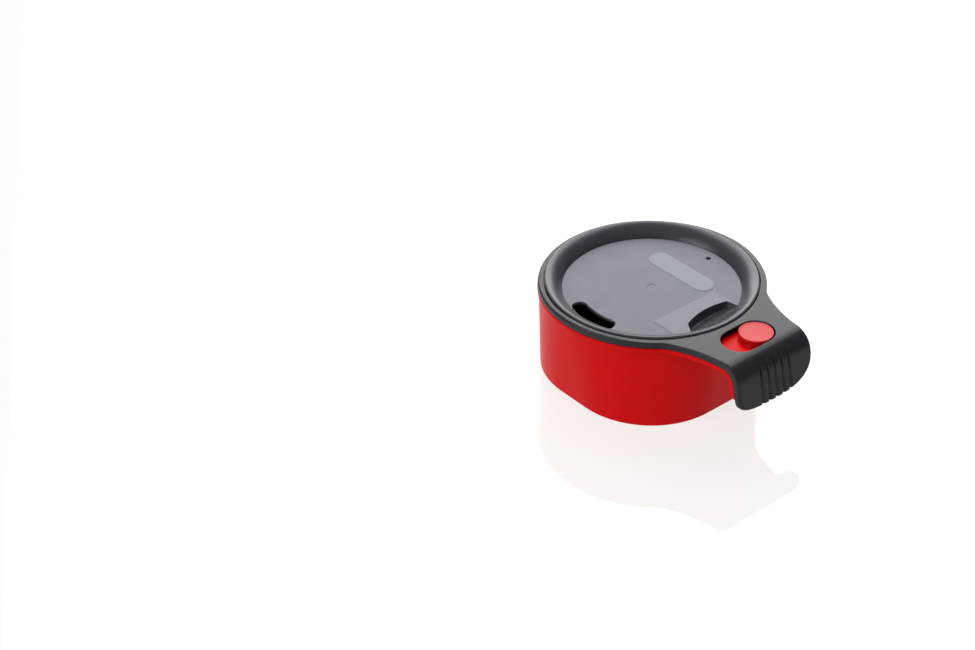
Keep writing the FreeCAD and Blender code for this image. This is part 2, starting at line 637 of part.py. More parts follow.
def vented_lid():
    """The lid: turned shell, finger scoop with its own wall, sip slot, vent, frosted pads."""
    shell = turn_round("lid_shell", lid_profile())
    under = "(panel_z - panel_thick)"
    wall = scoop("scoop_outside", "scoop_wall", "(scoop_z - scoop_wall)", "(skirt_in + skirt_out)/2",
                 "panel_z")
    room = scoop("scoop_inside", "", "scoop_z", "scoop_reach",
                 "(panel_z + crest_rad - panel_rad)")

    badge = sketch_on("badge_line", "XY", "panel_z - pad_root")
    straight = "(badge_half - badge_rad)"
    outline(badge, [
        (f"-({straight})", "badge_y - badge_rad", "badge_rad", 1),
        (straight, "badge_y - badge_rad"),
        (f"{straight} + badge_rad", "badge_y", "badge_rad", 1),
        (straight, "badge_y + badge_rad", "badge_rad", 1),
        (f"-({straight})", "badge_y + badge_rad"),
        (f"-({straight} + badge_rad)", "badge_y", "badge_rad", 1),
    ])
    pill = extrude("badge_pad", badge, "raise + pad_root")
    square = common("square_pad",
                    block("square_block", "pad_x", "-pad_half", "panel_z - pad_root",
                          "panel_rad - pad_x", "2*pad_half", "raise + pad_root"),
                    rod("square_keep", "panel_rad", "2*past", "panel_z - past"))
    whole = fuse("lid_joined", shell, wall, pill, square)

    slot = sketch_on("sip_line", "XY", f"{under} - past")
    outline(slot, [
        ("-sip_in*sin(sip_turn)", "-sip_in*cos(sip_turn)", "sip_in", -1),
        ("-sip_out*sin(sip_turn)", "-sip_out*cos(sip_turn)"),
        ("0", "-sip_out", "sip_out", 1),
        ("sip_out*sin(sip_turn)", "-sip_out*cos(sip_turn)", "sip_out", 1),
        ("sip_in*sin(sip_turn)", "-sip_in*cos(sip_turn)"),
        ("0", "-sip_in", "sip_in", -1),
    ])
    sharp = extrude("sip_sharp", slot, "panel_thick + 3*past")
    doc.recompute()
    uprights = [number for number, line in enumerate(sharp.Shape.Edges, start=1)
                if abs(line.Vertexes[0].Z - line.Vertexes[-1].Z) > 1
                and abs(line.Vertexes[0].X) > 1]
    sip = doc.addObject("Part::Fillet", "sip_round")
    sip.Base = sharp
    sip.Edges = [(number, worth("sip_corner"), worth("sip_corner")) for number in uprights]
    vent = rod("vent_hole", "vent_rad", "panel_thick + 2*past", f"{under} - past", "0", "vent_y")
    mark = doc.addObject("Part::Sphere", "moulding_mark")
    ball = "((dimple_rad*dimple_rad + dimple_deep*dimple_deep)/(2*dimple_deep))"
    bind(mark, Radius=ball)
    mark.setExpression("Placement.Base.z", bound(f"panel_z - dimple_deep + {ball}"))
    return finish(cut("lid_whole", whole, room, sip, vent, mark), "vented_lid")


def lid_seal():
    """The silicone ring on the lid's skirt, with three soft lips."""
    back = "(seat_rad + seal_play)"
    face = "(land_rad - seal_play)"
    root = f"({face} - seal_lip)"
    low = "(seat_low + seal_play)"
    high = "(seat_high - seal_play)"
    step = f"(({high} - {low})/6)"
    corners = [(back, high), (back, low), (root, low)]
    for lip in range(3):
        corners.append((face, f"{low} + {2 * lip + 1}*{step}"))
        corners.append((root, f"{low} + {2 * lip + 2}*{step}"))
    return finish(turn_round("seal_ring", outline(sketch_on("seal_half_section", "XZ"), corners)),
                  "lid_seal")


# ---------------------------------------------------------------- locking button
BUTTON_Y = "slot_shift"


def lock_button():
    """The sliding button: round head, two wings that run in the leaf's groove, and a barbed post."""
    head = rod("button_head", "button_rad", f"rim_z - {LIP_TOP} - head_gap",
               f"{LIP_TOP} + head_gap", "slot_x", BUTTON_Y)
    wings = block("button_wings", "slot_x - wing_half", f"{BUTTON_Y} - wing_long/2", "wing_z",
                  "2*wing_half", "wing_long", "wing_thick")
    post_top = f"({LIP_TOP} + post_root)"
    clip_top = f"({LIP_TOP} - lip_thick - clip_gap)"
    post_low = f"({clip_top} - clip_thick - barb_deep)"
    post = block("button_post", "slot_x - post_half", f"{BUTTON_Y} + post_near", post_low,
                 "2*post_half", "post_far - post_near", f"{post_top} - {post_low}")
    barb = block("button_barb", "slot_x - post_half - hook", f"{BUTTON_Y} + post_near", post_low,
                 "2*(post_half + hook)", "post_far - post_near", "barb_deep - barb_gap")
    joined = fuse("button_joined", head, wings, post, barb)
    return finish(joined, "lock_button")


def button_clip():
    """The retaining clip on the post, under the pan's leaf."""
    clip_top = f"({LIP_TOP} - lip_thick - clip_gap)"
    plate = block("clip_plate", "slot_x - clip_half", f"{BUTTON_Y} + post_near - clip_rim",
                  f"{clip_top} - clip_thick", "2*clip_half", "post_far - post_near + 2*clip_rim",
                  "clip_thick")
    hole = block("clip_hole", "slot_x - post_half - clip_play",
                 f"{BUTTON_Y} + post_near - clip_play",
                 f"{clip_top} - clip_thick - past", "2*(post_half + clip_play)",
                 "post_far - post_near + 2*clip_play", "clip_thick + 2*past")
    return finish(cut("clip_whole", plate, hole), "button_clip")


# ---------------------------------------------------------------- build, check, write
pieces = [outer_pan(), inner_dish(), vented_lid(), lid_seal(), lock_button(), button_clip()]
doc.recompute()

for thing in doc.Objects:
    if any(word in thing.State for word in ("Invalid", "Error")):
        raise RuntimeError(f"{thing.Name} failed: {thing.State}")

for piece in pieces:
    shape = piece.Shape
    if shape.isNull() or not shape.isValid() or len(shape.Solids) != 1:
        raise RuntimeError(f"{piece.Label} is not one valid solid: {len(shape.Solids)}")
    box = shape.BoundBox
    print(f"{piece.Label}: {shape.Volume / 1000:.2f} cm3, X {box.XMin:.1f} to {box.XMax:.1f}, "
          f"Y {box.YMin:.1f} to {box.YMax:.1f}, Z {box.ZMin:.1f} to {box.ZMax:.1f}")
    shape.exportStep(f"parts/{piece.Label}.step")
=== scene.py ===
"""A small round egg pan that nests: red outer pan, charcoal dish, lid on a silicone ring, locking
button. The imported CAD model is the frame; the pieces below are its finished surfaces.
Lengths in the modelling code are millimetres and become metres when a mesh is made."""

import math

import bmesh
import bpy
import numpy as np
from mathutils import Matrix, Vector, geometry


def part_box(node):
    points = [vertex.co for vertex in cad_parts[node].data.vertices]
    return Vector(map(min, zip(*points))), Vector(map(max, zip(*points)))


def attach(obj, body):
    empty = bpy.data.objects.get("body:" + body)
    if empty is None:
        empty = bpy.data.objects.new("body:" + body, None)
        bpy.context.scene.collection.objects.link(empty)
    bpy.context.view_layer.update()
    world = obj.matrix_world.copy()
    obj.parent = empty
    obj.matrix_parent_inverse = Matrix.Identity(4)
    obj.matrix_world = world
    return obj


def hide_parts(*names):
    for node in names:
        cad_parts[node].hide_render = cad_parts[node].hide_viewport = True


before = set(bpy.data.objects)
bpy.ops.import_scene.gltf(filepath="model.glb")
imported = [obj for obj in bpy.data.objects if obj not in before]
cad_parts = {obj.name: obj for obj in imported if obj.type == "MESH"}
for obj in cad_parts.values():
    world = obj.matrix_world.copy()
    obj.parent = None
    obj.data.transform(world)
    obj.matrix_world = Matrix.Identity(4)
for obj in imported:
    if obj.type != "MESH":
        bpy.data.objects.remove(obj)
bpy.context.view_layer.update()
MM = 0.001


def size_of(node):
    """Lowest and highest corner of a CAD node, in millimetres."""
    low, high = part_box(node)
    return np.array(low) / MM, np.array(high) / MM


PAN_LOW = size_of("outer_pan")[0]
DISH_LOW, DISH_HIGH = size_of("inner_dish")
LID_HIGH = size_of("vented_lid")[1]
BUTTON_LOW = size_of("lock_button")[0]

ROUND = 256                      # vertices round every full circle

# ---------- sizes
RIM_Z = DISH_HIGH[2]             # top of the dish's rim and leaf
RING = -DISH_LOW[0] + 0.35       # outer radius of the dish's rim
LEAF_THICK = 3.4
REBATE = 54.5                    # the round seat of the lid: its wall,
LEDGE_Z = 49.6                   # its ledge,
LAND = 52.0                      # and the bore under the ledge, down to LAND_Z
LAND_Z = 41.0
LIP = -PAN_LOW[0] - 0.15         # outer radius of the pan's rim
LIP_THICK = 2.3
LIP_TOP = RIM_Z - LEAF_THICK - 0.2
FOOT_FLAT = 9.2                  # half the flat of a vessel's side, at its foot

GRIP_HALF = 25.1                 # half the grip's width
NECK_RAD = 64.0                  # hollow sides of the handle, which end at NECK_X
NECK_X = 80.0
ROOT_RAD = 10.0                  # and their blend into the round rim
BEND_X = 75.9                    # where the leaf starts to bend down
BEND_RAD = 10.9
LEAN = math.radians(11.5)        # lean of the grip out of the upright
DISH_GRIP_Z = 26.65              # lower ends of both grips
PAN_GRIP_Z = 29.75
TIP_SHAPES = ((16.0, 2 / 2.5), (8.0, 2 / 3.0))   # length and power of the grip's two corners

RING_Z = 51.25                   # the rim's flat: its height over the axis,
RING_LOW = LEDGE_Z + 0.65        # its least height, away from the handle,
RING_RISE = math.tan(math.radians(1.6))   # and its rise toward the handle
SHOULDER = 1.5                   # the rim's rounded shoulder outside the flat
SHOULDER_START = 1.6
SHOULDER_FADE = (22, 40)         # X over which the rim rises to the leaf's full height

SLOT_X = 67.7                    # the button's slot
SLOT_HALF = 9.25
SLOT_SHIFT = 5.55
BUTTON_RAD = 8.7
SKIN = 1.1                       # leaf thickness over the button's wings
GROOVE_Z = 48.95                 # underside of the groove that the wings lock in
POST_HALF = 3.4                  # half width of the button's post

LID_RAD = 54.1
LID_LOW_EDGE = 49.75
PANEL_Z = 46.1
PANEL_RAD = 45.2
PANEL_UNDER = 44.3
CREST_RAD = 53.0                 # crest of the lid's bead
CREST_Z = LID_HIGH[2] - 0.5
CREST_ROUND = 1.5                # rounding from the crest out to the lid's edge
BEAD_BULGE = 1.35                # exponent of the bead's inner side: 1 is straight, 2 is round


# ---------- plane outlines
def circle(radius, count=ROUND, middle=(0.0, 0.0)):
    """A left-handed circle of evenly spaced points."""
    turn = np.arange(count) * 2 * math.pi / count
    return np.c_[middle[0] + radius * np.cos(turn), middle[1] + radius * np.sin(turn)]


def arc(middle, radius, start, end, step):
    """Points of an arc between two bearings, without its last point."""
    count = max(2, int(math.ceil(abs(end - start) * radius / step)))
    turn = start + (end - start) * np.arange(count) / count
    return np.c_[middle[0] + radius * np.cos(turn), middle[1] + radius * np.sin(turn)]


def run(start, end, step):
    """Points of a straight run, without its last point."""
    start, end = np.array(start, float), np.array(end, float)
    count = max(1, int(math.ceil(np.linalg.norm(end - start) / step)))
    return start + (end - start) * (np.arange(count) / count)[:, None]


def inward(loop):
    """Unit normals of a left-handed closed outline, pointing into it."""
    along = np.roll(loop, -1, 0) - np.roll(loop, 1, 0)
    along /= np.linalg.norm(along, axis=1)[:, None]
    return np.c_[-along[:, 1], along[:, 0]]


def inset(loop, amount):
    """A left-handed outline moved inward; amount is one number or one for each vertex."""
    return loop + inward(loop) * np.reshape(amount, (-1, 1))


def encloses(loop, points):
    """Which points lie inside a closed outline."""
    x, y = points[:, :1], points[:, 1:]
    ax, ay = loop[:, 0], loop[:, 1]
    bx, by = np.roll(ax, -1), np.roll(ay, -1)
    spans = (ay > y) != (by > y)
    rise = np.where(by == ay, 1.0, by - ay)
    return (spans & (x < (bx - ax) * (y - ay) / rise + ax)).sum(1) % 2 == 1


def gap_to(loop, points):
    """Distance from each point to the nearest side of a closed outline, and where that is."""
    start, along = loop, np.roll(loop, -1, 0) - loop
    best = np.full(len(points), np.inf)
    place = np.zeros(len(points))
    for number in range(len(loop)):
        away = points - start[number]
        share = np.clip(away @ along[number] / max(along[number] @ along[number], 1e-12), 0, 1)
        far = np.linalg.norm(away - share[:, None] * along[number], axis=1)
        closer = far < best
        best[closer] = far[closer]
        place[closer] = number + share[closer]
    return best, place


def smooth(edge_a, edge_b, value):
    """0 at edge_a and 1 at edge_b, with a soft start and end."""
    share = np.clip((value - edge_a) / (edge_b - edge_a), 0.0, 1.0)
    return share * share * (3 - 2 * share)


# ---------- closed meshes
def carved(piece, boxes):
    """The mesh of a piece with box-shaped rooms, given by low and high corners, cut out of it."""
    tools = []
    for low, high in boxes:
        work = bmesh.new()
        bmesh.ops.create_cube(work, size=1.0)
        for vertex in work.verts:
            share = np.array(vertex.co) + 0.5
            vertex.co = (np.array(low) + share * (np.array(high) - np.array(low))) * MM
        mesh = bpy.data.meshes.new("room")
        work.to_mesh(mesh)
        work.free()
        mesh.materials.append(piece.data.materials[0])
        tool = bpy.data.objects.new("room", mesh)
        bpy.context.scene.collection.objects.link(tool)
        step = piece.modifiers.new("room", "BOOLEAN")
        step.operation, step.solver, step.object = "DIFFERENCE", "EXACT", tool
        tools.append(tool)
    graph = bpy.context.evaluated_depsgraph_get()
    found = bpy.data.meshes.new_from_object(piece.evaluated_get(graph), depsgraph=graph)
    piece.modifiers.clear()
    for tool in tools:
        mesh = tool.data
        bpy.data.objects.remove(tool)
        bpy.data.meshes.remove(mesh)
    return found


class Shell:
    """Vertices and faces of one mesh, put together from loops that share their vertices."""

    def __init__(self):
        self.points = np.zeros((0, 3))
        self.faces = []
        self.marks = []

    def loop(self, points):
        """Adds points and gives back their numbers."""
        start = len(self.points)
        self.points = np.vstack([self.points, points])
        return np.arange(start, start + len(points))

    def strips(self, loops):
        """Quads between each closed loop and the next; all have the same length."""
        for first, second in zip(loops, loops[1:]):
            for quad in zip(first, np.roll(first, -1), np.roll(second, -1), second):
                self.faces.append(quad)
                self.marks.append(0)

    def fill(self, outlines, extras, place, clear=0.35, mark=None):
        """Triangles over the plane region inside the first outline and outside the others.
        Each outline is its plane points and its vertex numbers. extras are more plane points,
        which place lifts; clear is their least distance from an outline. mark gives the number
        of the material at plane points."""
        flat = np.vstack([points for points, _ in outlines])
        numbers = np.concatenate([found for _, found in outlines])
        keep = encloses(outlines[0][0], extras)
        for points, _ in outlines[1:]:
            keep &= ~encloses(points, extras)
        extras = extras[keep]
        for points, _ in outlines:
            extras = extras[gap_to(points, extras)[0] > clear]
        flat = np.vstack([flat, extras])
        numbers = np.concatenate([numbers, self.loop(place(extras))])
        edges, start = [], 0
        for points, _ in outlines:
            count = len(points)
            edges += [(start + i, start + (i + 1) % count) for i in range(count)]
            start += count
        found = geometry.delaunay_2d_cdt([Vector(p) for p in flat], edges, [], 0, 1e-9)
        corners = np.array([found[3][i][0] for i in range(len(found[0]))])
        triangles = corners[np.array(found[2])]
        middles = flat[triangles].mean(1)
        inside = encloses(outlines[0][0], middles)
        for points, _ in outlines[1:]:
            inside &= ~encloses(points, middles)
        kinds = mark(middles) if mark else np.zeros(len(middles), int)
        for triangle, kind in zip(triangles[inside], kinds[inside]):
            self.faces.append(tuple(numbers[triangle]))
            self.marks.append(int(kind))

    def build(self, name, materials, sharp=40.0, carve=()):
        """The finished object. Edges sharper than this angle stay sharp; carve lists rooms."""
        mesh = bpy.data.meshes.new(name)
        faces = [tuple(int(v) for v in face) for face in self.faces]
        mesh.from_pydata((self.points * MM).tolist(), [], faces)
        mesh.polygons.foreach_set("material_index", self.marks)
        work = bmesh.new()
        work.from_mesh(mesh)
        bmesh.ops.recalc_face_normals(work, faces=work.faces)
        work.to_mesh(mesh)
        work.free()
        mesh.polygons.foreach_set("use_smooth", [True] * len(mesh.polygons))
        mesh.set_sharp_from_angle(angle=math.radians(sharp))
        piece = bpy.data.objects.new(name, mesh)
        bpy.context.scene.collection.objects.link(piece)
        for material in materials:
            mesh.materials.append(material)
        if carve:
            piece.data = carved(piece, carve)
            bpy.data.meshes.remove(mesh)
            piece.data.name = name
        even = piece.modifiers.new("even_normals", "WEIGHTED_NORMAL")
        even.keep_sharp = True
        return piece


def level(loop, z):
    """A plane outline lifted to one height."""
    return np.c_[loop, np.full(len(loop), float(z))]


def quarter(radius, steps):
    """Inset and depth pairs of an edge's rounding, from its top face to its side."""
    turn = np.linspace(0, math.pi / 2, steps + 1)
    return [(radius * (1 - math.sin(a)), radius * (1 - math.cos(a))) for a in turn]


# ---------- materials
def tone(red, green, blue):
    """A colour given in display values, as the linear one that shaders take."""
    linear = [(v / 255 / 12.92 if v < 10.3 else ((v / 255 + 0.055) / 1.055) ** 2.4)
              for v in (red, green, blue)]
    return (*linear, 1.0)


def node(tree, kind, **sockets):
    """A new shader node with some of its sockets set."""
    made = tree.nodes.new(kind)
    for name, value in sockets.items():
        made.inputs[name.replace("_", " ")].default_value = value
    return made


def moulded(name, colour, deep, rough, grain, specular=0.5, flow=45.0, scuff=0.0):
    """Injection-moulded plastic: cloudy flow in the colour, uneven gloss, fine spark-eroded grain
    and, where scuff is above zero, faint rubbed lines."""
    material = bpy.data.materials.new(name)
    material.use_nodes = True
    tree = material.node_tree
    shader = tree.nodes["Principled BSDF"]
    shader.inputs["Specular IOR Level"].default_value = specular
    place = tree.nodes.new("ShaderNodeTexCoord")

    cloud = node(tree, "ShaderNodeTexNoise", Scale=flow, Detail=5.0, Roughness=0.6)
    tree.links.new(place.outputs["Object"], cloud.inputs["Vector"])
    mix = tree.nodes.new("ShaderNodeMix")
    mix.data_type = "RGBA"
    mix.inputs["A"].default_value = colour
    mix.inputs["B"].default_value = deep
    tree.links.new(cloud.outputs["Fac"], mix.inputs["Factor"])
    tree.links.new(mix.outputs["Result"], shader.inputs["Base Color"])

    patch = node(tree, "ShaderNodeTexNoise", Scale=flow * 3, Detail=3.0)
    tree.links.new(place.outputs["Object"], patch.inputs["Vector"])
    gloss = tree.nodes.new("ShaderNodeMapRange")
    gloss.inputs["To Min"].default_value = rough - 0.05
    gloss.inputs["To Max"].default_value = rough + 0.05
    tree.links.new(patch.outputs["Fac"], gloss.inputs["Value"])
    tree.links.new(gloss.outputs["Result"], shader.inputs["Roughness"])

    fine = node(tree, "ShaderNodeTexNoise", Scale=5200.0, Detail=2.0)
    tree.links.new(place.outputs["Object"], fine.inputs["Vector"])
    bump = node(tree, "ShaderNodeBump", Strength=grain, Distance=0.00004)
    tree.links.new(fine.outputs["Fac"], bump.inputs["Height"])
    last = bump
    if scuff:
        stretch = node(tree, "ShaderNodeMapping", Scale=(1400.0, 70.0, 500.0),
                       Rotation=(0.0, 0.0, 0.6))
        tree.links.new(place.outputs["Object"], stretch.inputs["Vector"])
        lines = node(tree, "ShaderNodeTexNoise", Scale=1.0, Detail=3.0, Distortion=0.4)
        tree.links.new(stretch.outputs["Vector"], lines.inputs["Vector"])
        thin = tree.nodes.new("ShaderNodeMapRange")
        thin.inputs["From Min"].default_value = 0.64
        thin.inputs["From Max"].default_value = 0.72
        tree.links.new(lines.outputs["Fac"], thin.inputs["Value"])
        rub = node(tree, "ShaderNodeBump", Strength=scuff, Distance=0.00003)
        tree.links.new(thin.outputs["Result"], rub.inputs["Height"])
        tree.links.new(bump.outputs["Normal"], rub.inputs["Normal"])
        last = rub
    tree.links.new(last.outputs["Normal"], shader.inputs["Normal"])
    return material


RED = moulded("red_moulded", tone(204, 5, 10), tone(188, 3, 8), 0.34, 0.1,
              specular=0.06, scuff=0.08)
CHARCOAL = moulded("charcoal_satin", tone(36, 37, 41), tone(30, 31, 35), 0.32, 0.14,
                   specular=0.21, scuff=0.08)
SLATE = moulded("slate_bead", tone(48, 50, 56), tone(43, 45, 51), 0.3, 0.1,
                specular=0.42, scuff=0.06)
PANEL = moulded("matte_panel", tone(97, 100, 107), tone(90, 93, 100), 0.5, 0.25,
                specular=0.23)
FROST = moulded("frosted_pill", tone(118, 122, 128), tone(110, 114, 120), 0.5, 0.6,
                specular=0.25)
SATIN = moulded("satin_square", tone(108, 111, 117), tone(101, 104, 110), 0.5, 0.3,
                specular=0.25)
BRIGHT = moulded("bright_button", tone(190, 14, 20), tone(174, 8, 14), 0.38, 0.1,
                 specular=0.24)
SEAL = moulded("soft_silicone", tone(40, 40, 42), tone(30, 30, 32), 0.6, 0.3,
               specular=0.35, flow=90.0)
CLIP = moulded("clip_acetal", tone(60, 60, 62), tone(48, 48, 50), 0.45, 0.2, flow=70.0)


# ---------- bowls
def soft_square(half, flat, count=ROUND):
    """A square over its flats whose corners are arcs, at even bearings."""
    turn = np.arange(count) * 2 * math.pi / count
    local = np.mod(turn, math.pi / 2)
    local = np.minimum(local, math.pi / 2 - local)
    corner = half - flat
    bulge = flat * (np.cos(local) + np.sin(local)) + np.sqrt(
        corner ** 2 - flat ** 2 * (1 - np.sin(2 * local)))
    radius = np.where(np.tan(local) < flat / half, half / np.cos(local), bulge)
    return np.c_[radius * np.cos(turn), radius * np.sin(turn)]


def wall_rows(shell, half, flat, low, high, count):
    """Loops of a drawn wall from high to low; half and flat are pairs, at high and at low."""
    rows = []
    for share in np.linspace(0, 1, count):
        ring = soft_square(half[0] + (half[1] - half[0]) * share,
                           flat[0] + (flat[1] - flat[0]) * share)
        rows.append(shell.loop(level(ring, high + (low - high) * share)))
    return rows


def foot_rows(shell, half, z, radius, steps=7):
    """Loops of the rounding from a wall's foot to the floor at z."""
    rows = []
    for turn in np.linspace(0, math.pi / 2, steps + 1)[1:]:
        ring = soft_square(half - radius * (1 - math.cos(turn)), FOOT_FLAT)
        rows.append(shell.loop(level(ring, z + radius * (1 - math.sin(turn)))))
    return rows


def plane_of(shell, numbers):
    """The plane points of a loop."""
    return shell.points[numbers][:, :2]


def gate_mark(radius, points, depth):
    """Depth of the ring-shaped moulding mark at plane points."""
    far = np.linalg.norm(points, axis=1)
    return depth * (smooth(radius, 0.55 * radius, far) - 0.7 * smooth(0.45 * radius, 0, far))


def gate_points(radius):
    """Points that carry the moulding mark."""
    return np.vstack([circle(radius * share, 24) for share in np.linspace(0.08, 1.15, 12)])


def rounded_floor(shell, numbers, z, sink):
    """A flat floor with a moulding mark in its middle; sink is the way the mark goes."""
    mark_rad, mark_deep = 2.4, 0.35
    rings = [circle(radius, 64) for radius in (8, 16, 24, 32, 40)]
    shell.fill([(plane_of(shell, numbers), numbers)], np.vstack([gate_points(mark_rad), *rings]),
               lambda flat: np.c_[flat, z + sink * gate_mark(mark_rad, flat, mark_deep)],
               clear=2.0)


# ---------- handle leaves
def near_angle(value, other):
    """value turned by whole turns until it is closest to other."""
    return value + 2 * math.pi * round((other - value) / (2 * math.pi))


def leaf_outline(ring, low_s, step=0.9):
    """Rim and handle laid flat: s runs along the handle's skin and round its bend."""
    neck_middle = np.array([NECK_X, GRIP_HALF + NECK_RAD])
    span = np.linalg.norm(neck_middle)
    along = ((ring + ROOT_RAD) ** 2 - (NECK_RAD - ROOT_RAD) ** 2 + span ** 2) / (2 * span)
    aside = math.sqrt((ring + ROOT_RAD) ** 2 - along ** 2)
    toward = neck_middle / span
    root = toward * along + np.array([toward[1], -toward[0]]) * aside
    leave = root * ring / (ring + ROOT_RAD)
    meet = neck_middle + (root - neck_middle) * NECK_RAD / (NECK_RAD - ROOT_RAD)

    def bearing(point, middle):
        return math.atan2(point[1] - middle[1], point[0] - middle[0])

    start = bearing(leave, root)
    root_arc = arc(root, ROOT_RAD, start, near_angle(bearing(meet, root), start), step)
    start = bearing(meet, neck_middle)
    neck_arc = arc(neck_middle, NECK_RAD, start, near_angle(-math.pi / 2, start), step)
    halves = []
    for tip_long, power in TIP_SHAPES:
        turn = np.linspace(math.pi / 2, 0, 400)
        tip = np.c_[low_s - tip_long + tip_long * np.cos(turn) ** power,
                    GRIP_HALF * np.sin(turn) ** power]
        side = run((NECK_X, GRIP_HALF), (low_s - tip_long, GRIP_HALF), step)
        halves.append(np.vstack([root_arc, neck_arc, side, even_steps(tip, step)]))
    upper, lower = halves[0], halves[1][1:] * (1, -1)
    leave_at = math.atan2(leave[1], leave[0])
    rim = arc((0, 0), ring, leave_at, 2 * math.pi - leave_at, 1.2)
    return np.vstack([rim, upper[:1] * (1, -1), lower[:-1], upper[::-1][:-1]])


def even_steps(points, step):
    """An open line sampled again at even steps, with both its ends."""
    length = np.r_[0, np.cumsum(np.linalg.norm(np.diff(points, axis=0), axis=1))]
    count = int(math.ceil(length[-1] / step)) + 1
    at = np.linspace(0, length[-1], count)
    return np.c_[np.interp(at, length, points[:, 0]), np.interp(at, length, points[:, 1])]


class Leaf:
    """The bend map of a handle leaf: flat at z = top, bent over, then leaning out."""

    def __init__(self, top, thick, bend, low_z):
        self.top, self.thick, self.bend = top, thick, bend
        self.arc_end = BEND_X + bend * (math.pi / 2 - LEAN)
        arc_z = top - bend + bend * math.sin(LEAN)
        self.low_s = self.arc_end + (arc_z - low_z) / math.cos(LEAN)

    def skin(self, s, y):
        """How far the top face lies under its plain shape."""
        return np.zeros(len(s))

    def place(self, flat, depth):
        """Points of the bent leaf, from laid-flat points and their depth under the top face."""
        s, y = flat[:, 0], flat[:, 1]
        depth = np.broadcast_to(np.asarray(depth, float), s.shape)
        depth = depth + self.skin(s, y) * (1 - depth / self.thick)
        low = np.clip((s - self.arc_end) / (self.low_s - self.arc_end), 0, 1)
        s = s - depth * math.tan(LEAN) * low
        turn = np.clip((s - BEND_X) / self.bend, 0, math.pi / 2 - LEAN)
        reach = self.bend - depth
        past = np.maximum(s - self.arc_end, 0)
        x = np.minimum(s, BEND_X) + reach * np.sin(turn) + past * math.sin(LEAN)
        z = self.top - self.bend + reach * np.cos(turn) - past * math.cos(LEAN)
        return np.c_[x, y, z]

    def edge(self, shell, outline, top_ease, low_ease):
        """Loops from the top face round the edge to the under face."""
        rows = [shell.loop(self.place(inset(outline, top_ease * i), top_ease * d))
                for i, d in quarter(1.0, 5)]
        for i, d in reversed(quarter(1.0, 3)):
            rows.append(shell.loop(self.place(inset(outline, low_ease * i),
                                              self.thick - low_ease * d)))
        return rows

    def grid(self, spacing, low, high):
        """Points over the handle between two distances along it."""
        rows = []
        s = low
        while s < high:
            rows.append(np.c_[np.full(60, s), np.linspace(-26, 26, 60)])
            s += spacing
        return np.vstack(rows)


def rim_fall(x, y):
    """How far the dish's rim lies under its full height: a low flat, then a round shoulder."""
    outward = np.clip(np.hypot(x, y) - REBATE - SHOULDER_START, 0, 0.95 * SHOULDER)
    flat = RIM_Z - np.clip(RING_Z + RING_RISE * x, RING_LOW, RIM_Z)
    shoulder = SHOULDER - np.sqrt(SHOULDER ** 2 - outward ** 2)
    return (flat + shoulder) * (1 - smooth(*SHOULDER_FADE, x))


class FlutedLeaf(Leaf):
    """The dish's leaf: a lower rim, and five grooves that open out down the grip."""

    FIRST_S = BEND_X + 5.2           # where the grooves start
    PITCH = 4.7
    SIDE = 12.0                      # half the width that the grooves take up

    def skin(self, s, y):
        share = np.clip((s - self.FIRST_S) / (self.low_s - self.FIRST_S), 0, 1)
        half = 0.38 + 1.0 * share
        deep = 1.15 * smooth(0, 0.3, share) - 0.25 * share
        groove = np.zeros(len(s))
        for number in range(-2, 3):
            across = np.clip(np.abs(y - number * self.PITCH) / half, 0, 1)
            groove = np.maximum(groove, np.cos(across * math.pi / 2) ** 1.3)
        return deep * groove + rim_fall(s, y)

    def groove_points(self):
        rows = []
        for s in np.arange(self.FIRST_S - 1, self.low_s, 0.8):
            rows.append(np.c_[np.full(81, s), np.linspace(-self.SIDE, self.SIDE, 81)])
        return np.vstack(rows)


def vertex_ease(outline, rim, grip):
    """Rounding radius along a leaf's outline: rim on the ring, grip on the handle."""
    return rim + (grip - rim) * smooth(58, 84, outline[:, 0])


def stadium(x, half, reach, step=0.6):
    """A slot outline along Y."""
    return np.vstack([run((x + half, -reach), (x + half, reach), step),
                      arc((x, reach), half, 0, math.pi, step),
                      run((x - half, reach), (x - half, -reach), step),
                      arc((x, -reach), half, math.pi, 2 * math.pi, step)])


def rounded_box(low, high, radius, step=0.5):
    """A left-handed rectangle with rounded corners."""
    (x0, y0), (x1, y1) = low, high
    parts = []
    for middle, start in (((x1 - radius, y0 + radius), -0.5), ((x1 - radius, y1 - radius), 0.0),
                          ((x0 + radius, y1 - radius), 0.5), ((x0 + radius, y0 + radius), 1.0)):
        bend = arc(middle, radius, start * math.pi, (start + 0.5) * math.pi, step)
        last = np.array([middle]) + radius * np.array([[math.cos((start + 0.5) * math.pi),
                                                        math.sin((start + 0.5) * math.pi)]])
        parts.append(np.vstack([bend, last]))
    rows = []
    for number, part in enumerate(parts):
        rows.append(part[:-1])
        rows.append(run(part[-1], parts[(number + 1) % 4][0], step))
    return np.vstack(rows)


def hole_rows(shell, outline, top, low, top_ease, low_ease, steps=4):
    """Loops down through a hole in a flat plate, with both its edges rounded."""
    rows = []
    for i, d in quarter(1.0, steps):
        rows.append(shell.loop(level(inset(outline, -top_ease * i), top - top_ease * d)))
    for i, d in reversed(quarter(1.0, 2)):
        rows.append(shell.loop(level(inset(outline, -low_ease * i), low + low_ease * d)))
    return rows


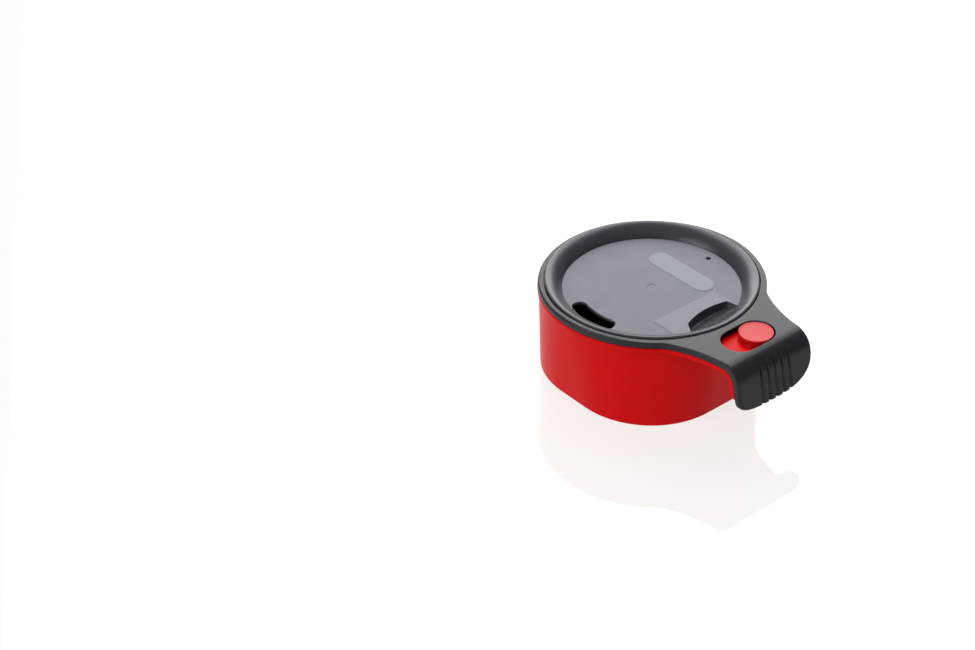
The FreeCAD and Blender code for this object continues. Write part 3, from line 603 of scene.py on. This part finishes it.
# ---------- outer pan
def outer_pan():
    shell = Shell()
    leaf = Leaf(LIP_TOP, LIP_THICK, BEND_RAD - LEAF_THICK - 0.2, PAN_GRIP_Z)
    outline = leaf_outline(LIP, leaf.low_s)
    ease, low_ease = vertex_ease(outline, 0.55, 0.8), 0.35
    edge = leaf.edge(shell, outline, ease, low_ease)
    shell.strips(edge)

    lip_low = LIP_TOP - LIP_THICK
    wall_half, wall_flat, foot_half, foot_round = 56.95, 0.3, 52.64, 1.5
    outside = [shell.loop(level(soft_square(wall_half + 0.2, wall_flat), lip_low)),
               shell.loop(level(soft_square(wall_half + 0.06, wall_flat), lip_low - 0.1))]
    outside += wall_rows(shell, (wall_half, foot_half), (wall_flat, FOOT_FLAT),
                         foot_round, lip_low - 0.4, 14)
    outside += foot_rows(shell, foot_half, 0.0, foot_round)
    shell.strips(outside)
    rounded_floor(shell, outside[-1], 0.0, 1)

    brim, floor_half, floor_z, floor_round = 55.0, 50.7, 2.4, 3.0
    inside = [shell.loop(level(circle(brim + 0.3), LIP_TOP)),
              shell.loop(level(circle(brim + 0.09), LIP_TOP - 0.09)),
              shell.loop(level(circle(brim), LIP_TOP - 0.3))]
    inside += wall_rows(shell, (brim - 0.06, floor_half), (wall_flat, FOOT_FLAT),
                        floor_z + floor_round, LIP_TOP - 0.6, 14)
    inside += foot_rows(shell, floor_half, floor_z, floor_round)
    shell.strips(inside)
    rounded_floor(shell, inside[-1], floor_z, -0.6)

    slot_half = 3.55
    post_slot = rounded_box((SLOT_X - slot_half, -2.7), (SLOT_X + slot_half, 13.2), 0.8)
    through = hole_rows(shell, post_slot, LIP_TOP, lip_low, 0.25, 0.2)
    shell.strips(through)

    handle = np.vstack([leaf.grid(2.0, 56, BEND_X - 0.5), leaf.grid(0.7, BEND_X, leaf.arc_end + 1),
                        leaf.grid(1.6, leaf.arc_end + 2, leaf.low_s)])
    for face, depth, holes in ((edge[0], 0.0, (inside[0], through[0])),
                               (edge[-1], LIP_THICK, (outside[0], through[-1]))):
        rim = inset(outline, ease if depth == 0 else low_ease)
        shell.fill([(rim, face)] + [(plane_of(shell, h), h) for h in holes], handle,
                   lambda flat, depth=depth: leaf.place(flat, depth), clear=0.6)
    return shell.build("red_outer_pan", [RED])


# ---------- inner dish
def inner_dish():
    shell = Shell()
    leaf = FlutedLeaf(RIM_Z, LEAF_THICK, BEND_RAD, DISH_GRIP_Z)
    outline = leaf_outline(RING, leaf.low_s, 0.6)
    ease, low_ease = vertex_ease(outline, 0.55, 1.3), 0.4
    edge = leaf.edge(shell, outline, ease, low_ease)
    shell.strips(edge)

    under = RIM_Z - LEAF_THICK
    top_half, foot_half, foot_z, foot_round = 54.2, 50.04, 9.4, 1.5
    outside = [shell.loop(level(soft_square(top_half + 0.3, 0.5), under)),
               shell.loop(level(soft_square(top_half, 0.5), under - 0.15))]
    outside += wall_rows(shell, (top_half - 0.25, foot_half), (0.6, FOOT_FLAT),
                         foot_z + foot_round, under - 0.5, 14)
    outside += foot_rows(shell, foot_half, foot_z, foot_round)
    shell.strips(outside)
    rounded_floor(shell, outside[-1], foot_z, 0.6)

    floor_half, floor_z, floor_round = 48.35, 11.4, 3.5
    mouth = circle(REBATE + 0.22)
    mouth_z = RIM_Z - rim_fall(mouth[:, 0], mouth[:, 1])
    inside = [shell.loop(np.c_[mouth, mouth_z]),
              shell.loop(np.c_[circle(REBATE + 0.06), mouth_z - 0.07]),
              shell.loop(np.c_[circle(REBATE), mouth_z - 0.25]),
              shell.loop(level(circle(REBATE), LEDGE_Z)),
              shell.loop(level(circle(LAND + 0.35), LEDGE_Z)),
              shell.loop(level(circle(LAND + 0.1), LEDGE_Z - 0.1)),
              shell.loop(level(circle(LAND), LEDGE_Z - 0.35)),
              shell.loop(level(circle(LAND), LAND_Z + 0.3)),
              shell.loop(level(circle(LAND - 0.1), LAND_Z))]
    inside += wall_rows(shell, (LAND - 0.95, floor_half), (2.2, FOOT_FLAT),
                        floor_z + floor_round, LAND_Z - 0.6, 12)
    inside += foot_rows(shell, floor_half, floor_z, floor_round, steps=8)
    shell.strips(inside)
    rounded_floor(shell, inside[-1], floor_z, -0.8)

    slot = stadium(SLOT_X, SLOT_HALF, SLOT_SHIFT)
    through = hole_rows(shell, slot, RIM_Z, under, 0.45, 0.15)
    shell.strips(through)

    flat_part = np.vstack([leaf.grid(2.0, 34, BEND_X - 0.5),
                           leaf.grid(0.8, BEND_X, leaf.FIRST_S - 1)])
    sides = leaf.grid(0.8, leaf.FIRST_S - 1, leaf.low_s)
    rings = np.vstack([circle(REBATE + shift) for shift in (0.8, 1.3, 1.6, 1.9, 2.15, 2.4)])
    rings = rings[rings[:, 0] < 50]
    guard = inset(outline, ease + 0.6)   # a row that keeps the flat's shading off the edge
    guard = guard[guard[:, 0] < BEND_X]
    top_points = np.vstack([rings, guard, flat_part,
                            sides[np.abs(sides[:, 1]) > leaf.SIDE + 0.3], leaf.groove_points()])
    for face, depth, holes, extras in (
            (edge[0], 0.0, (inside[0], through[0]), top_points),
            (edge[-1], LEAF_THICK, (outside[0], through[-1]), np.vstack([flat_part, sides]))):
        rim = inset(outline, ease if depth == 0 else low_ease)
        shell.fill([(rim, face)] + [(plane_of(shell, h), h) for h in holes], extras,
                   lambda flat, depth=depth: leaf.place(flat, depth), clear=0.3)
    # pocket and groove for the button's wings
    room, near, split, far = 10.75, -8.45, 2.45, 8.65
    rooms = [((SLOT_X - room, split - 0.01, under - 1), (SLOT_X + room, far, RIM_Z - SKIN)),
             ((SLOT_X - room, near, GROOVE_Z), (SLOT_X + room, split, RIM_Z - SKIN))]
    return shell.build("charcoal_inner_dish", [CHARCOAL], carve=rooms)


# ---------- lid
BEAD_WIDE = CREST_RAD - PANEL_RAD
BEAD_TALL = CREST_Z - PANEL_Z
BEAD = (BEAD_WIDE + BEAD_TALL) / 2
BEAD_LONG = PANEL_RAD + BEAD * math.pi / 2                  # section's length up to the crest
EDGE_TURN = math.asin((LID_RAD - CREST_RAD) / CREST_ROUND)
LID_LONG = BEAD_LONG + CREST_ROUND * EDGE_TURN              # and up to the lid's edge
SKIRT_IN = 48.9
BEAD_UNDER = 48.2                # underside of the bead
SCOOP_RAD = 23.3                 # the scoop's floor: an arc with its lowest point
SCOOP_MID = 31.6                 # at SCOOP_MID from the axis and at the height SCOOP_Z
SCOOP_Z = 41.8
SCOOP_RIM = 51.0                 # how far it bites into the bead in its middle,
SCOOP_FOOT = 45.5                # and at its two flanks
SCOOP_BOW = 40.0                 # radius of its near edge,
SCOOP_BOW_Y = 7.0                # Y of that edge's middle,
SCOOP_NEAR = 32.6                # and X there
SCOOP_ENDS = (-9.6, 19.3)        # Y of the near edge's ends
SCOOP_FLARE = (math.radians(-30.6), math.radians(8.2))      # bearings of the flanks
PAD_X = 23.9                     # the satin square
PAD_HALF = 20.6
PAD_REACH = PANEL_RAD - 0.25
PAD_RISE = 0.25                  # how far the square and the pill stand over the panel,
PAD_STEP = 0.13                  # and half the width of the step round them
BADGE_HALF, BADGE_RAD, BADGE_Y = 21.5, 6.0, 20.7            # the frosted pill
VENT_RAD, VENT_Y = 1.2, 40.0
SIP_IN, SIP_OUT, SIP_TURN, SIP_CORNER = 37.0, 44.1, math.radians(19.3), 3.0


def bead_profile(long):
    """Radius and height of the lid's top at a distance along its section from the middle."""
    climb = np.clip((long - PANEL_RAD) / BEAD, 0, math.pi / 2)
    fall = np.clip((long - BEAD_LONG) / CREST_ROUND, 0, EDGE_TURN)
    radius = np.where(long < PANEL_RAD, long,
                      CREST_RAD - BEAD_WIDE * np.cos(climb) ** (2 / BEAD_BULGE)
                      + CREST_ROUND * np.sin(fall))
    rise = (PANEL_Z + BEAD_TALL * np.sin(climb) ** (2 / BEAD_BULGE)
            - CREST_ROUND * (1 - np.cos(fall)))
    return radius, np.where(long < PANEL_RAD, PANEL_Z, rise)


def unrolled(plan):
    """Plan points on the lid's panel or bead, moved out to their distance along the section."""
    radius = np.linalg.norm(plan, axis=1)
    climb = np.arccos(np.clip((CREST_RAD - radius) / BEAD_WIDE, 0, 1) ** (BEAD_BULGE / 2))
    long = np.where(radius <= PANEL_RAD, radius, PANEL_RAD + BEAD * climb)
    return plan * (long / radius)[:, None]


def round_corner(before, corner, after, radius, step=0.3):
    """Points of the arc that rounds one corner of an open line."""
    first, second = (np.array(before) - corner), (np.array(after) - corner)
    first /= np.linalg.norm(first)
    second /= np.linalg.norm(second)
    half = math.acos(np.clip(first @ second, -1, 1)) / 2
    middle = corner + (first + second) / np.linalg.norm(first + second) * radius / math.sin(half)
    touch_a = corner + first * radius / math.tan(half)
    touch_b = corner + second * radius / math.tan(half)
    start = math.atan2(*(touch_a - middle)[::-1])
    end = near_angle(math.atan2(*(touch_b - middle)[::-1]), start)
    return np.vstack([arc(middle, radius, start, end, step), touch_b[None]])


def scoop_plan():
    """The finger scoop seen from above, left-handed: near edge, flank, crest, flank."""
    def bow(y):
        return SCOOP_NEAR + SCOOP_BOW - math.sqrt(SCOOP_BOW ** 2 - (y - SCOOP_BOW_Y) ** 2)

    low, high = (np.array([bow(y), y]) for y in SCOOP_ENDS)
    ends = []
    for corner, flare in zip((low, high), SCOOP_FLARE):
        way = np.array([math.cos(flare), math.sin(flare)])
        b, c = corner @ way, corner @ corner - SCOOP_FOOT ** 2
        ends.append(corner + way * (-b + math.sqrt(b * b - c)))
    near = np.array([[bow(y), y] for y in np.linspace(SCOOP_ENDS[1], SCOOP_ENDS[0], 60)])
    corners = [round_corner(near[5], high, ends[1], 1.8)[::-1],
               round_corner(near[-6], low, ends[0], 2.2)]
    keep = [p for p in near if np.linalg.norm(p - high) > 1.9 and np.linalg.norm(p - low) > 2.0]
    angle = [math.atan2(*end[::-1]) for end in ends]
    share = np.linspace(-1, 1, 120)
    turn = angle[0] + (angle[1] - angle[0]) * (share + 1) / 2
    radius = SCOOP_FOOT + (SCOOP_RIM - SCOOP_FOOT) * np.sqrt(1 - np.abs(share) ** 2.6)
    crest = np.c_[radius * np.cos(turn), radius * np.sin(turn)]
    whole = np.vstack([corners[0], np.array(keep), corners[1], crest, corners[0][:1]])
    return even_steps(whole, 0.42)[:-1]


def scoop_floor(radius):
    """Height of the scoop's floor at a distance from the lid's axis."""
    return SCOOP_Z + SCOOP_RAD - np.sqrt(
        np.maximum(SCOOP_RAD ** 2 - (radius - SCOOP_MID) ** 2, 1e-6))


def in_pill(plan):
    """How far plan points are inside the frosted pill."""
    along = np.maximum(np.abs(plan[:, 0]) - (BADGE_HALF - BADGE_RAD), 0)
    return BADGE_RAD - np.hypot(along, plan[:, 1] - BADGE_Y)


def in_square(plan):
    """How far plan points are inside the satin square round the scoop."""
    return np.minimum.reduce([plan[:, 0] - PAD_X, PAD_HALF - np.abs(plan[:, 1]),
                              PAD_REACH - np.linalg.norm(plan, axis=1)])


def pad_points():
    """Pairs of points that carry the small step round both pads."""
    straight = BADGE_HALF - BADGE_RAD
    pill = np.vstack([run((-straight, BADGE_Y - BADGE_RAD), (straight, BADGE_Y - BADGE_RAD), 0.7),
                      arc((straight, BADGE_Y), BADGE_RAD, -math.pi / 2, math.pi / 2, 0.5),
                      run((straight, BADGE_Y + BADGE_RAD), (-straight, BADGE_Y + BADGE_RAD), 0.7),
                      arc((-straight, BADGE_Y), BADGE_RAD, math.pi / 2, 1.5 * math.pi, 0.5)])
    end_x = math.sqrt(PAD_REACH ** 2 - PAD_HALF ** 2)
    turn = math.atan2(PAD_HALF, end_x)
    square = np.vstack([run((PAD_X, PAD_HALF), (PAD_X, -PAD_HALF), 0.7),
                        run((PAD_X, -PAD_HALF), (end_x, -PAD_HALF), 0.7),
                        arc((0, 0), PAD_REACH, -turn, turn, 0.7),
                        run((end_x, PAD_HALF), (PAD_X, PAD_HALF), 0.7)])
    return np.vstack([inset(line, shift) for line in (pill, square)
                      for shift in (-PAD_STEP, PAD_STEP)])


def sip_plan():
    """The sip slot: a bent slot round the lid's axis, with rounded corners."""
    inner, outer = SIP_IN + SIP_CORNER, SIP_OUT - SIP_CORNER
    down = -math.pi / 2
    near = SIP_TURN - SIP_CORNER / inner
    far = SIP_TURN - SIP_CORNER / outer

    def spot(radius, turn):
        return np.array([radius * math.cos(down + turn), radius * math.sin(down + turn)])

    parts = [arc((0, 0), SIP_OUT, down - far, down + far, 0.5),
             arc(spot(outer, far), SIP_CORNER, down + far, down + far + math.pi / 2, 0.4),
             arc(spot(inner, near), SIP_CORNER, down + near + math.pi / 2, down + near + math.pi,
                 0.4),
             arc((0, 0), SIP_IN, down + near, down - near, 0.5),
             arc(spot(inner, -near), SIP_CORNER, down - near + math.pi,
                 down - near + 1.5 * math.pi, 0.4),
             arc(spot(outer, -far), SIP_CORNER, down - far + 1.5 * math.pi,
                 down - far + 2 * math.pi, 0.4)]
    whole = np.vstack(parts)
    return even_steps(np.vstack([whole, whole[:1]]), 0.45)[:-1]


def vented_lid():
    """Panel, bead, scoop and skirt in one closed mesh; the top is meshed laid flat."""
    shell = Shell()
    mark_rad, mark_deep = 2.6, 0.3
    scoop = scoop_plan()
    scoop_long = unrolled(scoop)
    sip, vent = sip_plan(), circle(VENT_RAD, 40, (0, VENT_Y))
    sip_rows = hole_rows(shell, sip, PANEL_Z, PANEL_UNDER, 0.95, 0.3, steps=6)
    vent_rows = hole_rows(shell, vent, PANEL_Z, PANEL_UNDER, 0.25, 0.15)
    shell.strips(sip_rows)
    shell.strips(vent_rows)

    def top(flat):
        long = np.linalg.norm(flat, axis=1)
        radius, z = bead_profile(long)
        plan = flat * (radius / np.maximum(long, 1e-9))[:, None]
        on_panel = long < PANEL_RAD
        pads = np.maximum(in_pill(plan), in_square(plan))
        lift = PAD_RISE * smooth(-PAD_STEP, PAD_STEP, pads) * on_panel
        mark = gate_mark(mark_rad, plan, mark_deep) * on_panel
        return np.c_[plan, z + lift - mark]

    outer_long = circle(LID_LONG)
    outer = shell.loop(top(outer_long))
    rim = shell.loop(top(scoop_long))
    bead = [circle(long) for long in np.r_[PANEL_RAD - 0.3, PANEL_RAD, PANEL_RAD + 0.3,
                                           np.arange(PANEL_RAD + 0.9, LID_LONG - 0.3, 0.75)]]
    panel = [circle(radius, max(24, int(radius * 3))) for radius in np.arange(4, 44.5, 1.6)]
    edge_flat = [inset(scoop_long, -shift) for shift in (0.4, 0.9)]
    top_points = np.vstack([gate_points(mark_rad), *bead, *panel, pad_points(), *edge_flat])

    def finish_of(flat):
        """Numbers of the materials: bead 0, panel 1, pill 2, square 3."""
        on_panel = np.linalg.norm(flat, axis=1) < PANEL_RAD
        return on_panel * np.where(in_pill(flat) > 0, 2, np.where(in_square(flat) > 0, 3, 1))

    shell.fill([(outer_long, outer), (scoop_long, rim),
                (plane_of(shell, sip_rows[0]), sip_rows[0]),
                (plane_of(shell, vent_rows[0]), vent_rows[0])],
               top_points, top, clear=0.22, mark=finish_of)

    def hollow(flat):
        """The scoop: its floor, blended into the panel and the bead round it."""
        away = gap_to(scoop, flat)[0]
        radius = np.linalg.norm(flat, axis=1)
        outer_z = top(unrolled(flat))[:, 2]
        floor = scoop_floor(radius)
        width = np.clip(0.42 * (outer_z - floor), 0.7, 2.6) + 1.4 * smooth(44.5, 47.0, radius)
        return np.c_[flat, floor + (outer_z - floor) * (1 - smooth(-0.12 * width, width, away))]

    rows = [inset(scoop, shift) for shift in (0.22, 0.45, 0.7, 0.95, 1.2, 1.5, 1.8, 2.2, 2.7)]
    lattice = np.stack(np.meshgrid(np.arange(32, 52, 0.7), np.arange(-20, 24, 0.7)), -1)
    middle = lattice.reshape(-1, 2)
    middle = middle[encloses(inset(scoop, 2.9), middle)]
    shell.fill([(scoop, rim)], np.vstack([*rows, middle]), hollow, clear=0.12)

    skirt_low, skirt_out = 41.5, 51.5
    seat_rad, seat_low, seat_high = 50.4, 43.5, 47.1
    section = [(LID_RAD, LID_LOW_EDGE + 0.3), (LID_RAD - 0.09, LID_LOW_EDGE + 0.09),
               (LID_RAD - 0.3, LID_LOW_EDGE), (skirt_out + 0.3, LID_LOW_EDGE),
               (skirt_out + 0.05, LID_LOW_EDGE - 0.1), (skirt_out, LID_LOW_EDGE - 0.3),
               (skirt_out, seat_high + 0.15), (skirt_out - 0.15, seat_high),
               (seat_rad, seat_high), (seat_rad, seat_low), (skirt_out - 0.15, seat_low),
               (skirt_out, seat_low - 0.15), (skirt_out, skirt_low + 0.5),
               (skirt_out - 0.12, skirt_low + 0.14), (skirt_out - 0.45, skirt_low),
               (SKIRT_IN + 0.4, skirt_low), (SKIRT_IN + 0.1, skirt_low + 0.1),
               (SKIRT_IN, skirt_low + 0.4)]
    sides = [outer] + [shell.loop(level(circle(radius), z)) for radius, z in section]

    def under(flat):
        """The underside: flat, higher under the bead, lower under the scoop."""
        radius = np.linalg.norm(flat, axis=1)
        base = PANEL_UNDER + (BEAD_UNDER - PANEL_UNDER) * smooth(46.7, 47.5, radius)
        away = gap_to(scoop, flat)[0] * np.where(encloses(scoop, flat), -1, 1)
        bulge = np.minimum(base, scoop_floor(np.minimum(radius, SCOOP_RIM - 1)) - 1.6)
        return np.c_[flat, base + (bulge - base) * (1 - smooth(0.9, 2.0, away))]

    roof_flat = circle(SKIRT_IN)
    roof = shell.loop(under(roof_flat))
    shell.strips([*sides, roof])
    rings = [circle(radius, max(24, int(radius * 4))) for radius in
             np.r_[np.arange(2, 46.4, 2.2), np.arange(46.6, 47.8, 0.2), 48.3]]
    bulge_rows = [inset(scoop, -shift) for shift in (0.6, 0.9, 1.2, 1.5, 1.8, 2.1)]
    shell.fill([(roof_flat, roof), (plane_of(shell, sip_rows[-1]), sip_rows[-1]),
                (plane_of(shell, vent_rows[-1]), vent_rows[-1])],
               np.vstack([*rings, *bulge_rows, middle]), under, clear=0.3)
    return shell.build("slate_vented_lid", [SLATE, PANEL, FROST, SATIN], sharp=50.0)


# ---------- turned and small pieces
NO_POINTS = np.zeros((0, 2))


def turned(name, section, material):
    """A closed ring turned from a closed half section of (radius, z) corners."""
    shell = Shell()
    loops = [shell.loop(level(circle(radius), z)) for radius, z in section]
    shell.strips(loops + [loops[0]])
    return shell.build(name, [material])


def lid_seal():
    """The silicone ring, its three lips with rounded tips."""
    back, face, low, high = 50.48, 51.92, 43.58, 47.02
    root = face - 0.5
    pitch = (high - low) / 3
    section = [(back, high - 0.1), (back + 0.1, high), (root, high)]
    for lip in (2, 1, 0):
        middle = low + (lip + 0.5) * pitch
        section += [(root + 0.2, middle + 0.3), (face - 0.06, middle + 0.13), (face, middle),
                    (face - 0.06, middle - 0.13), (root + 0.2, middle - 0.3),
                    (root, low + lip * pitch)]
    section += [(back + 0.1, low), (back, low + 0.1)]
    return turned("silicone_seal", section[::-1], SEAL)


def slab(shell, outline, top, low, ease, hole=None):
    """A flat plate with rounded edges, with one hole through it or none."""
    rows = [shell.loop(level(inset(outline, ease * i), top - ease * d))
            for i, d in quarter(1.0, 4)]
    rows += [shell.loop(level(inset(outline, ease * i), low + ease * d))
             for i, d in reversed(quarter(1.0, 4))]
    shell.strips(rows)
    through = []
    if hole is not None:
        through = hole_rows(shell, hole, top, low, 0.15, 0.15)
        shell.strips(through)
    for z, index in ((top, 0), (low, -1)):
        outlines = [(plane_of(shell, rows[index]), rows[index])]
        if hole is not None:
            outlines.append((plane_of(shell, through[index]), through[index]))
        shell.fill(outlines, NO_POINTS, lambda flat, z=z: level(flat, z))


def lock_button():
    """Round head with a fine raised rim, two wings and a barbed post."""
    shell = Shell()
    mid_y, top, head_low = SLOT_SHIFT, RIM_Z, LIP_TOP + 0.1
    section = [(0.6, top - 0.32), (3.0, top - 0.31), (6.0, top - 0.27), (7.2, top - 0.2),
               (7.65, top - 0.13), (7.9, top - 0.03), (8.1, top), (8.36, top - 0.05),
               (8.57, top - 0.2), (BUTTON_RAD - 0.03, top - 0.42), (BUTTON_RAD, top - 0.7),
               (BUTTON_RAD, head_low + 0.3), (BUTTON_RAD - 0.09, head_low + 0.09),
               (BUTTON_RAD - 0.3, head_low)]
    rows = [shell.loop(level(circle(radius, 96, (SLOT_X, mid_y)), z)) for radius, z in section]
    shell.strips(rows)
    for row in (rows[0], rows[-1]):
        z = shell.points[row[0]][2]
        shell.fill([(plane_of(shell, row), row)], NO_POINTS, lambda flat, z=z: level(flat, z))

    def block(half, low_y, high_y, corner, high, low, ease):
        slab(shell, rounded_box((SLOT_X - half, mid_y + low_y), (SLOT_X + half, mid_y + high_y),
                                corner), high, low, ease)

    post_low, lip_low = BUTTON_LOW[2], LIP_TOP - LIP_THICK
    block(10.4, -2.5, 2.5, 0.8, 50.15, 49.1, 0.25)                               # wings
    block(POST_HALF, 3.0, 7.5, 0.7, LIP_TOP + 0.6, post_low + 0.2, 0.2)          # post
    block(POST_HALF + 0.5, 3.0, 7.5, 0.8, lip_low - 1.55, post_low, 0.3)         # barb
    return shell.build("red_lock_button", [BRIGHT])


def button_clip():
    """The retaining clip: a plate with rounded ends round the post."""
    shell = Shell()
    low, high = size_of("button_clip")
    gap, wall = 0.03, 1.57
    hole = rounded_box((SLOT_X - POST_HALF - gap, low[1] + wall),
                       (SLOT_X + POST_HALF + gap, high[1] - wall), 0.7)
    slab(shell, rounded_box(low[:2], high[:2], 1.6), high[2], low[2], 0.3, hole)
    return shell.build("retaining_clip", [CLIP])


# ---------- the object
for piece, body, cad_node, slot_name in (
        (outer_pan(), "pan", "outer_pan", "red_plastic"),
        (inner_dish(), "dish", "inner_dish", "grey_plastic"),
        (vented_lid(), "lid", "vented_lid", "lid_plastic"),
        (lid_seal(), "seal", "lid_seal", "seal_rubber"),
        (lock_button(), "button", "lock_button", "button_plastic"),
        (button_clip(), "button", "button_clip", "clip_plastic")):
    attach(piece, body)
    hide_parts(cad_node)


# ---------- studio
FLOOR_HALF = 3.0                 # metres, like all lengths from here on
FLOOR_GLOW = 0.8                 # keeps the floor pale between its faint mirror images
AIM = Vector((0.01, 0.0, 0.04))


def studio_floor():
    mesh = bpy.data.meshes.new("studio_floor")
    corners = [(x * FLOOR_HALF, y * FLOOR_HALF, 0) for x, y in ((-1, -1), (1, -1), (1, 1), (-1, 1))]
    mesh.from_pydata(corners, [], [(0, 1, 2, 3)])
    floor = bpy.data.objects.new("studio_floor", mesh)
    bpy.context.scene.collection.objects.link(floor)
    material = bpy.data.materials.new("pale_floor")
    material.use_nodes = True
    shader = material.node_tree.nodes["Principled BSDF"]
    shader.inputs["Base Color"].default_value = (0.12, 0.12, 0.12, 1.0)
    shader.inputs["Roughness"].default_value = 0.05
    shader.inputs["Specular IOR Level"].default_value = 0.35
    shader.inputs["Emission Color"].default_value = (1.0, 0.975, 0.95, 1.0)
    shader.inputs["Emission Strength"].default_value = FLOOR_GLOW
    mesh.materials.append(material)


def soft_box(name, bearing, height, distance, wide, high, power, glossy=True):
    """A soft area light aimed at the object, at a bearing and elevation in degrees. With
    glossy off it lights surfaces but has no mirror image in them."""
    data = bpy.data.lights.new(name, "AREA")
    data.shape = "RECTANGLE"
    data.size, data.size_y = wide, high
    data.energy = power
    lamp = bpy.data.objects.new(name, data)
    turn, lift = math.radians(bearing), math.radians(height)
    away = Vector((math.cos(turn) * math.cos(lift), math.sin(turn) * math.cos(lift),
                   math.sin(lift)))
    lamp.location = AIM + away * distance
    lamp.rotation_euler = (-away).to_track_quat("-Z", "Y").to_euler()
    bpy.context.scene.collection.objects.link(lamp)
    lamp.visible_glossy = glossy


studio_floor()
soft_box("back_box", 139, 42, 1.3, 1.4, 1.5, 31)
soft_box("top_box", -60, 66, 1.2, 0.6, 0.6, 5, glossy=False)
soft_box("left_box", -104, 28, 1.3, 0.8, 0.9, 7)
soft_box("front_box", -70, 12, 1.6, 0.8, 0.4, 1.5)

world = bpy.data.worlds.new("studio")
world.use_nodes = True
sky = world.node_tree.nodes["Background"]
sky.inputs["Color"].default_value = (0.9, 0.95, 1.0, 1.0)
sky.inputs["Strength"].default_value = 0.2
bpy.context.scene.world = world
bpy.context.scene.view_settings.view_transform = "Standard"

# ---------- camera
CAMERA_AT = Vector((0.60808, -0.59008, 0.6066))
FORWARD = Vector((-0.6441, 0.5123, -0.5680)).normalized()
ROLL = math.radians(1.29)

level_right = FORWARD.cross(Vector((0, 0, 1))).normalized()
level_down = FORWARD.cross(level_right).normalized()
right = level_right * math.cos(ROLL) + level_down * math.sin(ROLL)
down = level_down * math.cos(ROLL) - level_right * math.sin(ROLL)
lens = bpy.data.cameras.new("photo_camera")
lens.lens, lens.sensor_width = 74.0, 36.0
camera = bpy.data.objects.new("photo_camera", lens)
camera.matrix_world = Matrix.Translation(CAMERA_AT) @ Matrix(
    (right, -down, -FORWARD)).transposed().to_4x4()
bpy.context.scene.collection.objects.link(camera)
bpy.context.scene.camera = camera
